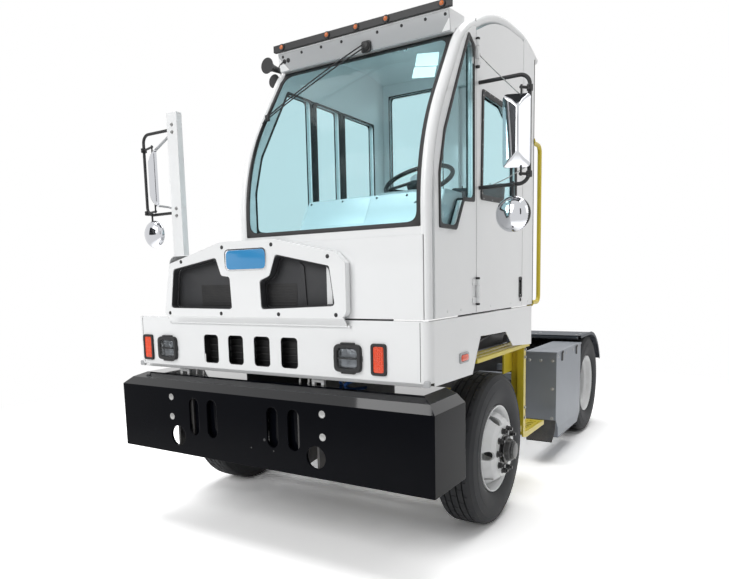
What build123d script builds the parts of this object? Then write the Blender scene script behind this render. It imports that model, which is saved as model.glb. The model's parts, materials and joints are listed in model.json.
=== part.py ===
"""Terminal tractor with an offset tilt cab, a lifting fifth wheel and dual rear wheels.

Millimetres. X runs to the vehicle's left, Y to its rear and Z up from the ground.
The origin is on the ground under the middle of the overall box.
"""
import math
import os
from build123d import *

# ---------------------------------------------------------------- driving dimensions
overall_length = 5150.0
bumper_width = 2436.0
chassis_x = -106.0              # chassis centreline: the cab and bumper sit to its left
front_y = -overall_length / 2   # front face of the bumper

# wheels and axles
tyre_radius = 524.0
tyre_width = 279.0
rim_radius = 285.75             # bead seat radius of a 22.5 in rim
rim_width = 210.0
front_axle_setback = 1238.0
wheelbase = 2946.0
front_track = 2186.0
dual_track = 1760.0
dual_spacing = 343.0
kingpin_track = 1830.0
axle_z = tyre_radius
front_axle_y = front_y + front_axle_setback
rear_axle_y = front_axle_y + wheelbase
stud_circle_radius = 142.875
running_gap = 0.05              # radial gap of a shaft in its bearing

# frame
frame_width = 864.0
rail_depth = 255.0
rail_flange = 88.0
rail_wall = 10.0
rail_top_z = 966.0
rail_front_y = front_y + 150.0
rail_rear_y = front_y + overall_length - 25.0

# bumper
bumper_bottom_z = 569.0
bumper_top_z = 1011.0
bumper_depth = 401.0
bumper_plate = 16.0
bumper_bevel = ((49.0, 45.0), (120.0, 75.0))   # inwards and upwards from the top edge

# lower front panel and cab skin
skin = 4.0
panel_front_y = front_y + 108.0
panel_left_x = 1144.0
panel_right_x = -1159.0
panel_bottom_z = 1150.0
cab_seam_z = 1490.0
corner_radius = 55.0

# cab, its heights drawn for a floor at cab_floor_z; the finished cab is set on the seam
cab_floor_z = 1490.0
cab_rise = cab_seam_z - cab_floor_z
tilt_drop = 44.0                # tilt axis below the cab's floor
cab_left_x = panel_left_x
cab_right_x = -146.0
cab_rear_y = front_y + 1900.0
wall = 40.0
tunnel_left_x = 500.0           # left side of the raised engine tunnel in the floor
tunnel_top_z = 1930.0
windshield_bottom_z = 1975.0
windshield_kink_z = 2070.0      # where the glass starts to lean back
windshield_top_z = 3038.0
windshield_top_y = front_y + 520.0
windshield_lean = 32.0          # degrees at the top
arch_peak_y = front_y + 1475.0
arch_peak_z = 3368.0
roof_rear_y = front_y + 1975.0
roof_rear_z = 3318.0
pillar_radius = 30.0
door_front_y = front_y + 757.0
door_rear_y = front_y + 1640.0
door_gap = 6.0
glass = 6.0

# fifth wheel and its lift
plate_top_z = 1210.0
trunnion_y = rear_axle_y - 120.0
trunnion_z = 1092.0
boom_pivot_y = rear_axle_y - 1500.0
boom_pivot_z = 880.0
kingpin_radius = 25.4


def station(distance):
    """Y of a point that lies this far behind the bumper's front face."""
    return front_y + distance


# ---------------------------------------------------------------- helpers
def block(x0, x1, y0, y1, z0, z1):
    """Rectangular block between two corners."""
    size = (abs(x1 - x0), abs(y1 - y0), abs(z1 - z0))
    return Pos((x0 + x1) / 2, (y0 + y1) / 2, (z0 + z1) / 2) * Box(*size)


def prism_x(points, x0, x1):
    """Outline of (y, z) points carried from x0 to x1."""
    face = make_face(Polyline(*[(x0, y, z) for y, z in points], close=True))
    return extrude(face, amount=x1 - x0, dir=(1, 0, 0))


def prism_y(points, y0, y1):
    """Outline of (x, z) points carried from y0 to y1."""
    face = make_face(Polyline(*[(x, y0, z) for x, z in points], close=True))
    return extrude(face, amount=y1 - y0, dir=(0, 1, 0))


def prism_z(points, z0, z1):
    """Outline of (x, y) points carried from z0 to z1."""
    face = make_face(Polyline(*[(x, y, z0) for x, y in points], close=True))
    return extrude(face, amount=z1 - z0, dir=(0, 0, 1))


def cylinder_x(x0, x1, y, z, radius):
    """Round bar along X."""
    return Pos((x0 + x1) / 2, y, z) * Rot(0, 90, 0) * Cylinder(radius, abs(x1 - x0))


def cylinder_y(x, y0, y1, z, radius):
    """Round bar along Y."""
    return Pos(x, (y0 + y1) / 2, z) * Rot(90, 0, 0) * Cylinder(radius, abs(y1 - y0))


def cylinder_z(x, y, z0, z1, radius):
    """Round bar along Z."""
    return Pos(x, y, (z0 + z1) / 2) * Cylinder(radius, abs(z1 - z0))


def bar(start, end, radius):
    """Round bar between two points."""
    line = Line(start, end)
    return sweep(Plane(line @ 0, z_dir=line % 0) * Circle(radius), path=line)


def bent_tube(points, bend, radius):
    """Round tube along a path with rounded corners."""
    path = FilletPolyline(*points, radius=bend)
    return sweep(Plane(path @ 0, z_dir=path % 0) * Circle(radius), path=path)


def save(name, shape):
    """Write one node's STEP file."""
    solids = shape.solids() if hasattr(shape, "solids") else ShapeList(shape)
    item = solids[0] if len(solids) == 1 else Compound(children=list(solids))
    export_step(item, f"parts/{name}.step")


def save_cab(name, shape):
    """Write a node of the cab, raised from its drawn floor to the seam."""
    save(name, Pos(0, 0, cab_rise) * shape)


def mirror_chassis(shape):
    """The same piece on the other side of the chassis centreline."""
    return mirror(shape, about=Plane(origin=(chassis_x, 0, 0), z_dir=(1, 0, 0)))


# ---------------------------------------------------------------- wheels
disc_face = dual_spacing / 2    # mounting face of a disc, out from the rim's centre
disc_plate = 11.0
pilot_radius = 110.0
hub_pilot_radius = 109.6
spindle_radius = 42.0


def rim_section():
    """Half section of the drop-centre rim as (x, r) points."""
    return [(-117, 298), (-105, 298), (-103, 286), (-60, 276), (-36, 258), (10, 258), (40, 272), (103, 286),
            (105, 298), (117, 298), (117, 289), (98, 277), (44, 262), (16, 248), (-42, 248), (-66, 266),
            (-98, 277), (-117, 289)]


def disc_section():
    """Half section of the dished disc, its mounting face at disc_face."""
    f = disc_face
    t = disc_plate
    return [(20, 254), (34, 257.5), (62, 252), (104, 240), (f - 22, 212), (f, 184), (f, pilot_radius),
            (f - t, pilot_radius), (f - t, 178), (f - 32, 202), (98, 228), (58, 240), (20, 246)]


def spin_x(points):
    """Solid of revolution about X from (x, r) points."""
    face = make_face(Polyline(*[(x, 0, r) for x, r in points], close=True))
    return revolve(face, axis=Axis.X, revolution_arc=360)


def disc_wheel():
    """Steel disc wheel about X, its disc bulging towards +X."""
    wheel = spin_x(rim_section()) + spin_x(disc_section())
    for i in range(5):
        angle = math.radians(36 + 72 * i)
        y, z = 217 * math.cos(angle), 217 * math.sin(angle)
        wheel -= cylinder_x(60, 190, y, z, 31)
    for i in range(10):
        angle = math.radians(36 * i)
        y, z = stud_circle_radius * math.cos(angle), stud_circle_radius * math.sin(angle)
        wheel -= cylinder_x(disc_face - 20, disc_face + 5, y, z, 13)
    return wheel


def tyre():
    """Hollow tyre about X."""
    r = tyre_radius
    w = tyre_width / 2
    outer = [(-101.5, 288), (-103.5, 300), (-124, 325), (-w + 3, 365), (-w, 405), (-w + 6, 455), (-w + 22, 497),
             (-w + 34, r - 9), (-w + 46, r - 3), (0, r)]
    inner = [(0, r - 22), (-w + 52, r - 26), (-w + 36, r - 38), (-w + 22, 450), (-w + 18, 405), (-w + 22, 365),
             (-106, 330), (-84, 304), (-82, 288)]
    section = outer + [(-x, z) for x, z in reversed(outer[:-1])]
    section += [(-x, z) for x, z in reversed(inner)][:-1] + inner
    return spin_x(section)


def front_hub():
    """Front hub about X, with the flange behind the disc and a capped nose."""
    f = disc_face - disc_plate
    profile = [(f - 120, 60), (f - 26, 78), (f - 24, 172), (f, 172), (f, hub_pilot_radius), (f + 16, hub_pilot_radius),
               (f + 20, 82), (f + 62, 74), (f + 70, 66), (f + 70, 0), (f + 40, 0), (f + 40, spindle_radius + running_gap),
               (f - 120, spindle_radius + running_gap)]
    hub = spin_x(profile)
    for i in range(10):
        angle = math.radians(36 * i)
        y, z = stud_circle_radius * math.cos(angle), stud_circle_radius * math.sin(angle)
        hub += cylinder_x(f - 5, f + 52, y, z, 11)
    return hub


def rear_hub():
    """Rear hub about X at the middle of the dual pair."""
    t = disc_plate
    bore = spindle_radius + 8 + running_gap
    profile = [(-150, 70), (-44, 88), (-t - 24, 172), (-t, 172), (-t, hub_pilot_radius), (t + 12, hub_pilot_radius),
               (t + 16, 98), (t + 96, 90), (t + 100, 102), (t + 112, 102), (t + 120, 88), (t + 120, 0), (t + 60, 0),
               (t + 60, bore), (-150, bore)]
    hub = spin_x(profile)
    for i in range(10):
        angle = math.radians(36 * i)
        y, z = stud_circle_radius * math.cos(angle), stud_circle_radius * math.sin(angle)
        hub += cylinder_x(-t - 5, t + 44, y, z, 11)
    return hub


def build_wheels():
    """Front wheels and rear dual wheels, each as rim, tyre and hub."""
    wheel, rubber = disc_wheel(), tyre()
    half = dual_spacing / 2
    pair = Pos(-half, 0, 0) * wheel + Pos(half, 0, 0) * mirror(wheel, about=Plane.YZ)
    rubber_pair = Compound(children=[Pos(-half, 0, 0) * rubber, Pos(half, 0, 0) * rubber])
    for side, sign in (("left", 1), ("right", -1)):
        front = Pos(chassis_x + sign * front_track / 2, front_axle_y, axle_z)
        rear = Pos(chassis_x + sign * dual_track / 2, rear_axle_y, axle_z)
        for name, place, shape in (
                (f"{side}_front_wheel", front, wheel), (f"{side}_front_tyre", front, rubber),
                (f"{side}_front_hub", front, front_hub()), (f"{side}_rear_wheels", rear, pair),
                (f"{side}_rear_tyres", rear, rubber_pair), (f"{side}_rear_hub", rear, rear_hub())):
            turned = shape if sign > 0 else mirror(shape, about=Plane.YZ)
            save(name, place * turned)


# ---------------------------------------------------------------- chassis
def channel(sign):
    """One frame rail, its open side towards the chassis centreline."""
    x = chassis_x + sign * frame_width / 2
    web = x - sign * rail_wall
    tip = x - sign * rail_flange
    bottom = rail_top_z - rail_depth
    return prism_y([(x, bottom), (tip, bottom), (tip, bottom + rail_wall), (web, bottom + rail_wall),
                    (web, rail_top_z - rail_wall), (tip, rail_top_z - rail_wall), (tip, rail_top_z),
                    (x, rail_top_z)], rail_front_y, rail_rear_y)


def cross_tube(y, z, radius):
    """Round crossmember between the two rail webs."""
    half = frame_width / 2 - rail_wall
    outer = cylinder_x(chassis_x - half, chassis_x + half, y, z, radius)
    return outer - cylinder_x(chassis_x - half, chassis_x + half, y, z, radius - 10)


def cross_channel(y, depth, z0, z1):
    """Folded crossmember between the two rail webs, open to the rear."""
    half = frame_width / 2 - rail_wall
    x0, x1 = chassis_x - half, chassis_x + half
    body = block(x0, x1, y, y + depth, z0, z1)
    return body - block(x0, x1, y + 10, y + depth, z0 + 10, z1 - 10)


boom_pin_y = boom_pivot_y
cylinder_foot_y = boom_pivot_y + 200.0
cylinder_foot_z = 610.0
cylinder_x_offset = 150.0
foot_pin_radius = 22.0
boom_pin_radius = 30.0


def build_frame():
    """Rails, crossmembers, bumper brackets and the bar across the tail."""
    save("frame_rails", Compound(children=[channel(1), channel(-1)]))
    mid = rail_top_z - rail_depth / 2
    members = [cross_channel(rail_front_y + 20, 90, mid - 100, mid + 100),
               cross_channel(station(1980), 80, mid - 105, mid + 105),
               cross_channel(rail_rear_y - 70, 70, mid - 110, mid + 110)]
    # boom pivot crossmember: two ears each side of the boom's hub, carried by a round tube
    pivot = cross_tube(boom_pivot_y - 150, mid, 70)
    for sign in (1, -1):
        x = chassis_x + sign * 300
        ear = prism_x([(boom_pivot_y - 200, mid - 60), (boom_pivot_y + 45, boom_pivot_z - 45),
                       (boom_pivot_y + 45, boom_pivot_z + 45), (boom_pivot_y - 45, boom_pivot_z + 45),
                       (boom_pivot_y - 200, mid + 60)], x - 12, x + 12)
        pivot += ear
    pivot -= cylinder_x(chassis_x - 320, chassis_x + 320, boom_pivot_y, boom_pivot_z, boom_pin_radius + running_gap)
    members.append(pivot)
    # cylinder foot crossmember, hung under the rails
    foot = cross_tube(cylinder_foot_y - 110, mid - 66, 40)
    for sign in (1, -1):
        for offset in (-70, 70):
            x = chassis_x + sign * cylinder_x_offset + offset
            foot += prism_x([(cylinder_foot_y - 150, mid - 100), (cylinder_foot_y - 30, cylinder_foot_z - 35),
                             (cylinder_foot_y + 35, cylinder_foot_z - 35), (cylinder_foot_y + 35, cylinder_foot_z + 30),
                             (cylinder_foot_y - 75, mid - 50), (cylinder_foot_y - 150, mid - 40)], x - 8, x + 8)
        x = chassis_x + sign * cylinder_x_offset
        foot += cylinder_x(x - 78, x + 78, cylinder_foot_y, cylinder_foot_z, foot_pin_radius)
    members.append(foot)
    members.append(block(chassis_x - 560, chassis_x + 560, rail_rear_y, rail_rear_y + 25, 800, 940))
    for sign in (1, -1):
        x = chassis_x + sign * (frame_width / 2 + 7)
        plate = prism_x([(front_y + bumper_plate, 600), (front_y + 330, 640),
                         (rail_front_y + 420, rail_top_z - rail_depth + 20), (rail_front_y + 420, rail_top_z - 20),
                         (front_y + bumper_plate, 985)], x - 7, x + 7)
        pad = block(x, x + sign * 240, front_y + bumper_plate, front_y + bumper_plate + 12, 780, 985)
        tow = block(x + sign * 130, x + sign * 146, front_y + bumper_plate, front_y + 200, 600, 985)
        members.append(plate + pad + tow)
    members += air_tanks() + tank_straps() + [cab_rest()]
    save("crossmembers", Compound(children=members))


def bumper_body(shrink):
    """Solid envelope of the bumper, drawn in by the plate thickness."""
    half = bumper_width / 2 - shrink
    front = front_y + shrink
    back = front_y + bumper_depth
    rings = [(0.0, bumper_bottom_z - (1 if shrink else 0)), (0.0, bumper_top_z - shrink * 0.4)]
    rings += [(i, bumper_top_z + up - shrink) for i, up in bumper_bevel]
    shape = None
    for (i0, z0), (i1, z1) in zip(rings, rings[1:]):
        low = make_face(Polyline((-half + i0, front + i0, z0), (half - i0, front + i0, z0), (half - i0, back, z0),
                                 (-half + i0, back, z0), close=True))
        high = make_face(Polyline((-half + i1, front + i1, z1), (half - i1, front + i1, z1), (half - i1, back, z1),
                                  (-half + i1, back, z1), close=True))
        layer = loft([low, high])
        shape = layer if shape is None else shape + layer
    return shape


def build_bumper():
    """Deep folded bumper, open at the back, with its tow openings."""
    shell = bumper_body(0) - bumper_body(bumper_plate)
    for sign in (1, -1):
        shell -= cylinder_y(chassis_x + sign * 570, front_y - 5, front_y + 60, 692, 67.5)
        for x in (412, 251):
            slot = block(chassis_x + sign * x - 43, chassis_x + sign * x + 43, front_y - 5, front_y + 60, 754, 916)
            slot += cylinder_y(chassis_x + sign * x, front_y - 5, front_y + 60, 754, 43)
            slot += cylinder_y(chassis_x + sign * x, front_y - 5, front_y + 60, 916, 43)
            shell -= slot
    save("front_bumper", shell)


# ---------------------------------------------------------------- lower front panel and fenders
panel_top_z = cab_seam_z - 10.0
hinge_y = panel_front_y - 11.0  # axis that the cab tilts about, along the foot of the grille frame
hinge_z = cab_seam_z - tilt_drop
hinge_pin_radius = 3.0
hinge_barrel_radius = 5.5
grille_left_x = 660.0
grille_right_x = -806.0
panel_lip = 24.0                # how far the foot of the panel slopes down and back
fender_front_y = panel_front_y + corner_radius
fender_rear_y = station(1880)
lamp_z = 1266.0


def build_front_panel():
    """White panel across the front with rounded corners, vents and lamp holes."""
    x0, x1 = panel_right_x, panel_left_x
    r = corner_radius
    plan = Polyline((x0, fender_front_y, 0), (x0, fender_front_y, 0.001))
    outer = (Line((x0 + r, panel_front_y, 0), (x1 - r, panel_front_y, 0))
             + RadiusArc((x1 - r, panel_front_y, 0), (x1, fender_front_y, 0), -r)
             + Line((x1, fender_front_y, 0), (x1 - skin, fender_front_y, 0))
             + RadiusArc((x1 - skin, fender_front_y, 0), (x1 - r, panel_front_y + skin, 0), r - skin)
             + Line((x1 - r, panel_front_y + skin, 0), (x0 + r, panel_front_y + skin, 0))
             + RadiusArc((x0 + r, panel_front_y + skin, 0), (x0 + skin, fender_front_y, 0), r - skin)
             + Line((x0 + skin, fender_front_y, 0), (x0, fender_front_y, 0))
             + RadiusArc((x0, fender_front_y, 0), (x0 + r, panel_front_y, 0), -r))
    sheet = Pos(0, 0, panel_bottom_z) * extrude(make_face(outer), amount=panel_top_z - panel_bottom_z, dir=(0, 0, 1))
    y, z, drop = panel_front_y, panel_bottom_z, panel_lip
    lip = prism_x([(y, z), (y + drop, z - drop), (y + drop + 5, z - drop + 2), (y + skin, z + 4)], x0 + r - 12, x1 - r + 12)
    lip += block(x0 + r, x1 - r, panel_front_y + skin, panel_front_y + 30, panel_top_z - skin, panel_top_z)
    panel = sheet + lip
    for x in (-333, -117, 101, 316):
        hole = Pos(chassis_x + x, panel_front_y, 1276) * Rot(90, 0, 0) * extrude(RectangleRounded(128, 186, 24), 20, both=True)
        panel -= hole
    for sign in (1, -1):
        lamp = Pos(chassis_x + sign * 741, panel_front_y, lamp_z) * Rot(90, 0, 0)
        panel -= lamp * extrude(RectangleRounded(170, 150, 40), 20, both=True)
        signal = Pos(chassis_x + sign * 941, panel_front_y, lamp_z) * Rot(90, 0, 0)
        panel -= signal * extrude(RectangleRounded(92, 172, 22), 20, both=True)
    left, right = grille_left_x - 18, grille_right_x + 18
    for x0, x1 in ((right - 16, right - 6), (left + 6, left + 16)):
        panel += block(x0, x1, hinge_y - 6, panel_front_y + 1, hinge_z - 7, hinge_z + 7)
    panel += cylinder_x(right - 12, left + 12, hinge_y, hinge_z, hinge_pin_radius)
    save("front_panel", panel)


def fender_side(x0, x1):
    """Side sheet with the wheel opening."""
    return prism_x([(fender_front_y, 1130), (station(690), 1122), (station(824), 1344), (station(1300), 1334),
                    (station(1452), 1222), (fender_rear_y, 1192), (fender_rear_y, panel_top_z),
                    (fender_front_y, panel_top_z)], x0, x1)


def build_fenders():
    """Side sheets that carry the panel back over the front wheels, and the flat deck over the right one."""
    left = fender_side(panel_left_x - skin, panel_left_x)
    left += block(panel_left_x - 34, panel_left_x - skin, fender_front_y, fender_rear_y, panel_top_z - skin, panel_top_z)
    right = fender_side(panel_right_x, panel_right_x + skin)
    right += block(panel_right_x + skin, hood_right_x - 2, fender_front_y, fender_rear_y,
                   panel_top_z - skin, panel_top_z)
    right += block(panel_right_x + skin, hood_right_x - 2, fender_rear_y - skin, fender_rear_y, 1192, panel_top_z - skin)
    save("front_fenders", Compound(children=[left, right]))


hood_right_x = -806.0
hood_left_x = -168.0
hood_top_z = 1890.0 + cab_rise
hood_front_y = station(118)
hood_rear_y = station(1750)


def build_engine_bay():
    """Hood beside the cab, radiator with its duct, and the engine as one block."""
    outer = block(hood_right_x, hood_left_x, hood_front_y, hood_rear_y, panel_top_z, hood_top_z)
    edge = outer.edges().filter_by(Axis.Y).filter_by(lambda e: e.center().Z > hood_top_z - 1
                                                     and e.center().X < hood_right_x + 1)
    outer = fillet(edge, 60)
    inner = block(hood_right_x + skin, hood_left_x + 5, hood_front_y - 5, hood_rear_y - skin, panel_top_z - 10,
                  hood_top_z - skin)
    edge = inner.edges().filter_by(Axis.Y).filter_by(lambda e: e.center().Z > hood_top_z - skin - 1
                                                     and e.center().X < hood_right_x + skin + 1)
    inner = fillet(edge, 56)
    save("engine_hood", outer - inner)
    top = tunnel_top_z + cab_rise - 60
    core = block(-640, 440, station(200), station(270), 1240, top - 20)
    tanks = block(-690, -640, station(190), station(280), 1220, top) + block(440, 485, station(190), station(280), 1220, top)
    duct = block(-690, 485, station(122), station(190), panel_top_z + 20, top - 2)
    duct -= block(-684, 479, station(120), station(192), panel_top_z + 26, top - 8)
    save("radiator", core + tanks + duct)
    engine = block(chassis_x - 320, chassis_x + 320, station(420), station(1400), 640, 1640)
    save("engine_block", engine)


# ---------------------------------------------------------------- front axle and steering
kingpin_x = kingpin_track / 2
kingpin_pin_radius = 24.0
arm_length = 190.0
tie_rod_z = 440.0
ball_radius = 15.0


def build_front_axle():
    """Dropped I-beam axle with its kingpins, and the two leaf springs."""
    def beam_outline():
        pts = [(-kingpin_x, axle_z - 62), (-kingpin_x + 60, axle_z - 62), (-560, 440), (560, 440),
               (kingpin_x - 60, axle_z - 62), (kingpin_x, axle_z - 62), (kingpin_x, axle_z + 62),
               (kingpin_x - 60, axle_z + 62), (520, 560), (-520, 560), (-kingpin_x + 60, axle_z + 62),
               (-kingpin_x, axle_z + 62)]
        return [(chassis_x + x, z) for x, z in pts]
    beam = prism_y(beam_outline(), front_axle_y - 46, front_axle_y + 46)
    for sign in (1, -1):
        pocket = prism_y([(chassis_x + x, z) for x, z in
                          ((-470, 462), (470, 462), (450, 540), (-450, 540))],
                         front_axle_y + sign * 14, front_axle_y + sign * 60)
        beam -= pocket
    for sign in (1, -1):
        x = chassis_x + sign * kingpin_x
        beam += cylinder_z(x, front_axle_y, axle_z - 62, axle_z + 62, 46)
        beam += cylinder_z(x, front_axle_y, axle_z - 118, axle_z + 118, kingpin_pin_radius)
    save("front_axle", beam)
    springs = []
    for sign in (1, -1):
        x = chassis_x + sign * 400
        stack = None
        for i, half in enumerate((640, 560, 430)):
            z = 640 - 16 * i
            rise = 34 * (half / 640) ** 2
            leaf = prism_x([(front_axle_y - half, z + rise), (front_axle_y - 200, z - 8), (front_axle_y + 200, z - 8),
                            (front_axle_y + half, z + rise), (front_axle_y + half, z + rise + 13),
                            (front_axle_y + 200, z + 5), (front_axle_y - 200, z + 5),
                            (front_axle_y - half, z + rise + 13)], x - 38, x + 38)
            stack = leaf if stack is None else stack + leaf
        stack += block(x - 44, x + 44, front_axle_y - 60, front_axle_y + 60, 560, 612)
        for end in (-1, 1):
            y = front_axle_y + end * 655
            stack += cylinder_x(x - 38, x + 38, y, 684, 26)
            hanger = block(x + 38, x + 50, y - 45, y + 45, 650, rail_top_z - rail_depth)
            hanger += block(x - 50, x - 38, y - 45, y + 45, 650, rail_top_z - rail_depth)
            hanger += block(x - 50, x + 50, y - 45, y + 45, 712 - 12, rail_top_z - rail_depth)
            stack += hanger
        springs.append(stack)
    save("leaf_springs", Compound(children=springs))


def knuckle():
    """Left steering knuckle: yoke, spindle and steering arm."""
    x = chassis_x + kingpin_x
    hub_x = chassis_x + front_track / 2
    gap = 1.5
    yoke = block(x - 42, x + 42, front_axle_y - 46, front_axle_y + 46, axle_z + 62 + gap, axle_z + 112)
    yoke += block(x - 42, x + 42, front_axle_y - 46, front_axle_y + 46, axle_z - 112, axle_z - 62 - gap)
    yoke += block(x + 57, x + 84, front_axle_y - 52, front_axle_y + 52, axle_z - 112, axle_z + 112)
    yoke += block(x + 30, x + 60, front_axle_y - 46, front_axle_y + 46, axle_z + 62 + gap, axle_z + 112)
    yoke += block(x + 30, x + 60, front_axle_y - 46, front_axle_y + 46, axle_z - 112, axle_z - 62 - gap)
    yoke += cylinder_x(x + 84, hub_x + disc_face + 22, front_axle_y, axle_z, spindle_radius)
    yoke -= cylinder_z(x, front_axle_y, axle_z - 130, axle_z + 130, kingpin_pin_radius + running_gap)
    ball_x, ball_y = x, front_axle_y + arm_length
    arm = prism_z([(x + 20, front_axle_y + 40), (x + 60, front_axle_y + 40), (ball_x + 24, ball_y + 10),
                   (ball_x, ball_y + 26), (ball_x - 24, ball_y + 8)], axle_z - 108, axle_z - 84)
    arm += cylinder_z(ball_x, ball_y, axle_z - 108, axle_z - 84, 26)
    arm += cylinder_z(ball_x, ball_y, tie_rod_z - 24 - 22, axle_z - 84, ball_radius)
    return yoke + arm


def build_steering():
    """Knuckles and the tie rod between their arms."""
    left = knuckle()
    save("left_knuckle", left)
    save("right_knuckle", mirror_chassis(left))
    left_x = chassis_x + kingpin_x
    right_x = chassis_x - kingpin_x
    y = front_axle_y + arm_length
    z = axle_z - 108 - 30
    rod = cylinder_x(right_x, left_x, y, z, 19)
    for x in (left_x, right_x):
        rod += cylinder_z(x, y, z - 22, z + 22, 32)
    for x, gap in ((left_x, running_gap), (right_x, 0.3)):
        rod -= cylinder_z(x, y, z - 40, z + 40, ball_radius + gap)
    save("tie_rod", rod)


# ---------------------------------------------------------------- rear axle
def build_rear_axle():
    """Banjo axle housing with its mounts under the rails, and the drive shaft."""
    half = dual_track / 2
    spindle = spindle_radius + 8
    profile = [(-half - 58, 0), (-half - 58, spindle), (-half + 152, spindle), (-half + 156, 68), (-300, 72),
               (-190, 150), (-60, 200), (110, 200), (230, 150), (330, 72), (half - 156, 68), (half - 152, spindle),
               (half + 58, spindle), (half + 58, 0)]
    housing = Pos(chassis_x, rear_axle_y, axle_z) * spin_x(profile)
    housing &= block(-2000, 2000, rear_axle_y - 130, rear_axle_y + 150, 0, 2000)
    nose = cylinder_y(chassis_x + 20, rear_axle_y - 330, rear_axle_y - 100, axle_z + 20, 85)
    housing += nose
    for sign in (1, -1):
        x = chassis_x + sign * 388
        housing += block(x - 44, x + 44, rear_axle_y - 110, rear_axle_y + 110, axle_z + 20, rail_top_z - rail_depth)
    housing += bar((chassis_x + 20, rear_axle_y - 300, axle_z + 20), (chassis_x + 20, station(1420), 700), 45)
    save("rear_axle", housing)


# ---------------------------------------------------------------- sides, deck and rear
box_left_x = 1124.0
box_right_x = 850.0
box_front_y = front_y + 2709.0
box_rear_y = front_y + 3630.0
box_top_z = 1022.0
tank_x = -1000.0
tank_z = 640.0
tank_radius = 300.0
tank_front_y = front_y + 2250.0
tank_rear_y = front_y + 3500.0
fender_radius = 560.0


def build_side_box():
    """Sheet metal battery box beside the left rail, its lower front corner cut off slantwise."""
    corner = [(box_right_x, 213), (box_left_x - 24, 213), (box_left_x, 330), (box_left_x, box_top_z),
              (box_right_x, box_top_z)]
    body = prism_y(corner, box_front_y, box_rear_y)
    wedge = prism_x([(box_front_y - 1, 200), (box_front_y + 190, 200), (box_front_y - 1, 420)],
                    box_right_x - 1, box_left_x + 1)
    inner = [(box_right_x + 4, 217), (box_left_x - 27, 217), (box_left_x - 4, 331), (box_left_x - 4, box_top_z - 14),
             (box_right_x + 4, box_top_z - 14)]
    hollow = prism_y(inner, box_front_y + 4, box_rear_y - 4)
    hollow -= prism_x([(box_front_y - 1, 190), (box_front_y + 199, 190), (box_front_y - 1, 431)],
                      box_right_x - 1, box_left_x + 1)
    body = body - wedge - hollow
    lid = block(box_right_x - 4, box_left_x + 6, box_front_y - 6, box_rear_y + 4, box_top_z - 10, box_top_z + 6)
    body += lid
    for y in (box_front_y + 180, box_rear_y - 180):
        body += block(chassis_x + frame_width / 2, box_right_x, y - 35, y + 35, 730, 790)
    save("side_box", body)


def build_fuel_tank():
    """Round fuel tank beside the right rail with its cap, two straps and brackets."""
    tank = cylinder_y(tank_x, tank_front_y, tank_rear_y, tank_z, tank_radius)
    tank = fillet(tank.edges().filter_by(GeomType.CIRCLE), 22)
    neck = Pos(tank_x - 150, tank_front_y + 230, tank_z) * Rot(0, -30, 0) * Pos(0, 0, tank_radius - 20) * Cylinder(48, 90)
    save("fuel_tank", tank + neck)


def tank_straps():
    """Two straps round the fuel tank with their brackets on the rail."""
    straps = []
    for y in (tank_front_y + 240, tank_rear_y - 240):
        ring = cylinder_y(tank_x, y - 30, y + 30, tank_z, tank_radius + 5) - cylinder_y(
            tank_x, y - 40, y + 40, tank_z, tank_radius)
        arm = prism_y([(chassis_x - frame_width / 2, 950), (chassis_x - frame_width / 2, 330),
                       (tank_x, 310), (tank_x, 420), (chassis_x - frame_width / 2 - 90, 950)], y - 25, y + 25)
        straps.append(ring + (arm - cylinder_y(tank_x, y - 60, y + 60, tank_z, tank_radius + 1)))
    return straps


def fender_point(angle, radius):
    """Point (y, z) on an arc about the rear axle, the angle counted back from straight up."""
    turn = math.radians(angle)
    return rear_axle_y + radius * math.sin(turn), axle_z + radius * math.cos(turn)


def build_rear_fenders():
    """Flat topped plastic fenders over the dual wheels, with the tubes that carry them."""
    fenders = []
    r = fender_radius
    start = station(3735)
    angles = (0, 15, 30, 45, 60, 67)
    web = frame_width / 2
    for sign in (1, -1):
        def across(near, far):
            return sorted((chassis_x + sign * near, chassis_x + sign * far))

        def band(depth):
            rim = [fender_point(a, r) for a in angles]
            under = [fender_point(a, r - depth) for a in reversed(angles)]
            return [(start, axle_z + r)] + rim + under + [(start, axle_z + r - depth)]

        near, far = dual_track / 2 - 320, dual_track / 2 + 330
        shell = prism_x(band(5), *across(near, far)) + prism_x(band(26), *across(far - 4, far))
        y, z = rear_axle_y - 425, axle_z + r - 23
        shell += cylinder_x(*across(web + 10, far - 40), y, z, 20)
        bracket = across(web, web + 40)
        shell += block(bracket[0], bracket[1], y - 30, y + 30, rail_top_z - 120, z + 15)
        y, z = fender_point(40, r - 13.5)
        shell += cylinder_x(*across(web, far - 40), y, z, 10)
        fenders.append(shell)
    save("rear_fenders", Compound(children=fenders))


tread_depth = 26.0


def step_tread(x0, x1, y0, y1, z):
    """Folded step tread with a row of long holes."""
    tread = block(x0, x1, y0, y1, z - tread_depth, z) - block(x0 + 4, x1 - 4, y0 + 4, y1 - 4, z - tread_depth - 1, z - 4)
    count = int((y1 - y0 - 30) // 60)
    for i in range(count):
        y = y0 + 25 + 60 * i
        for x in (x0 + (x1 - x0) * 0.3, x0 + (x1 - x0) * 0.7):
            tread -= block(x - 28, x + 28, y, y + 26, z - 8, z + 1)
    return tread


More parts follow.
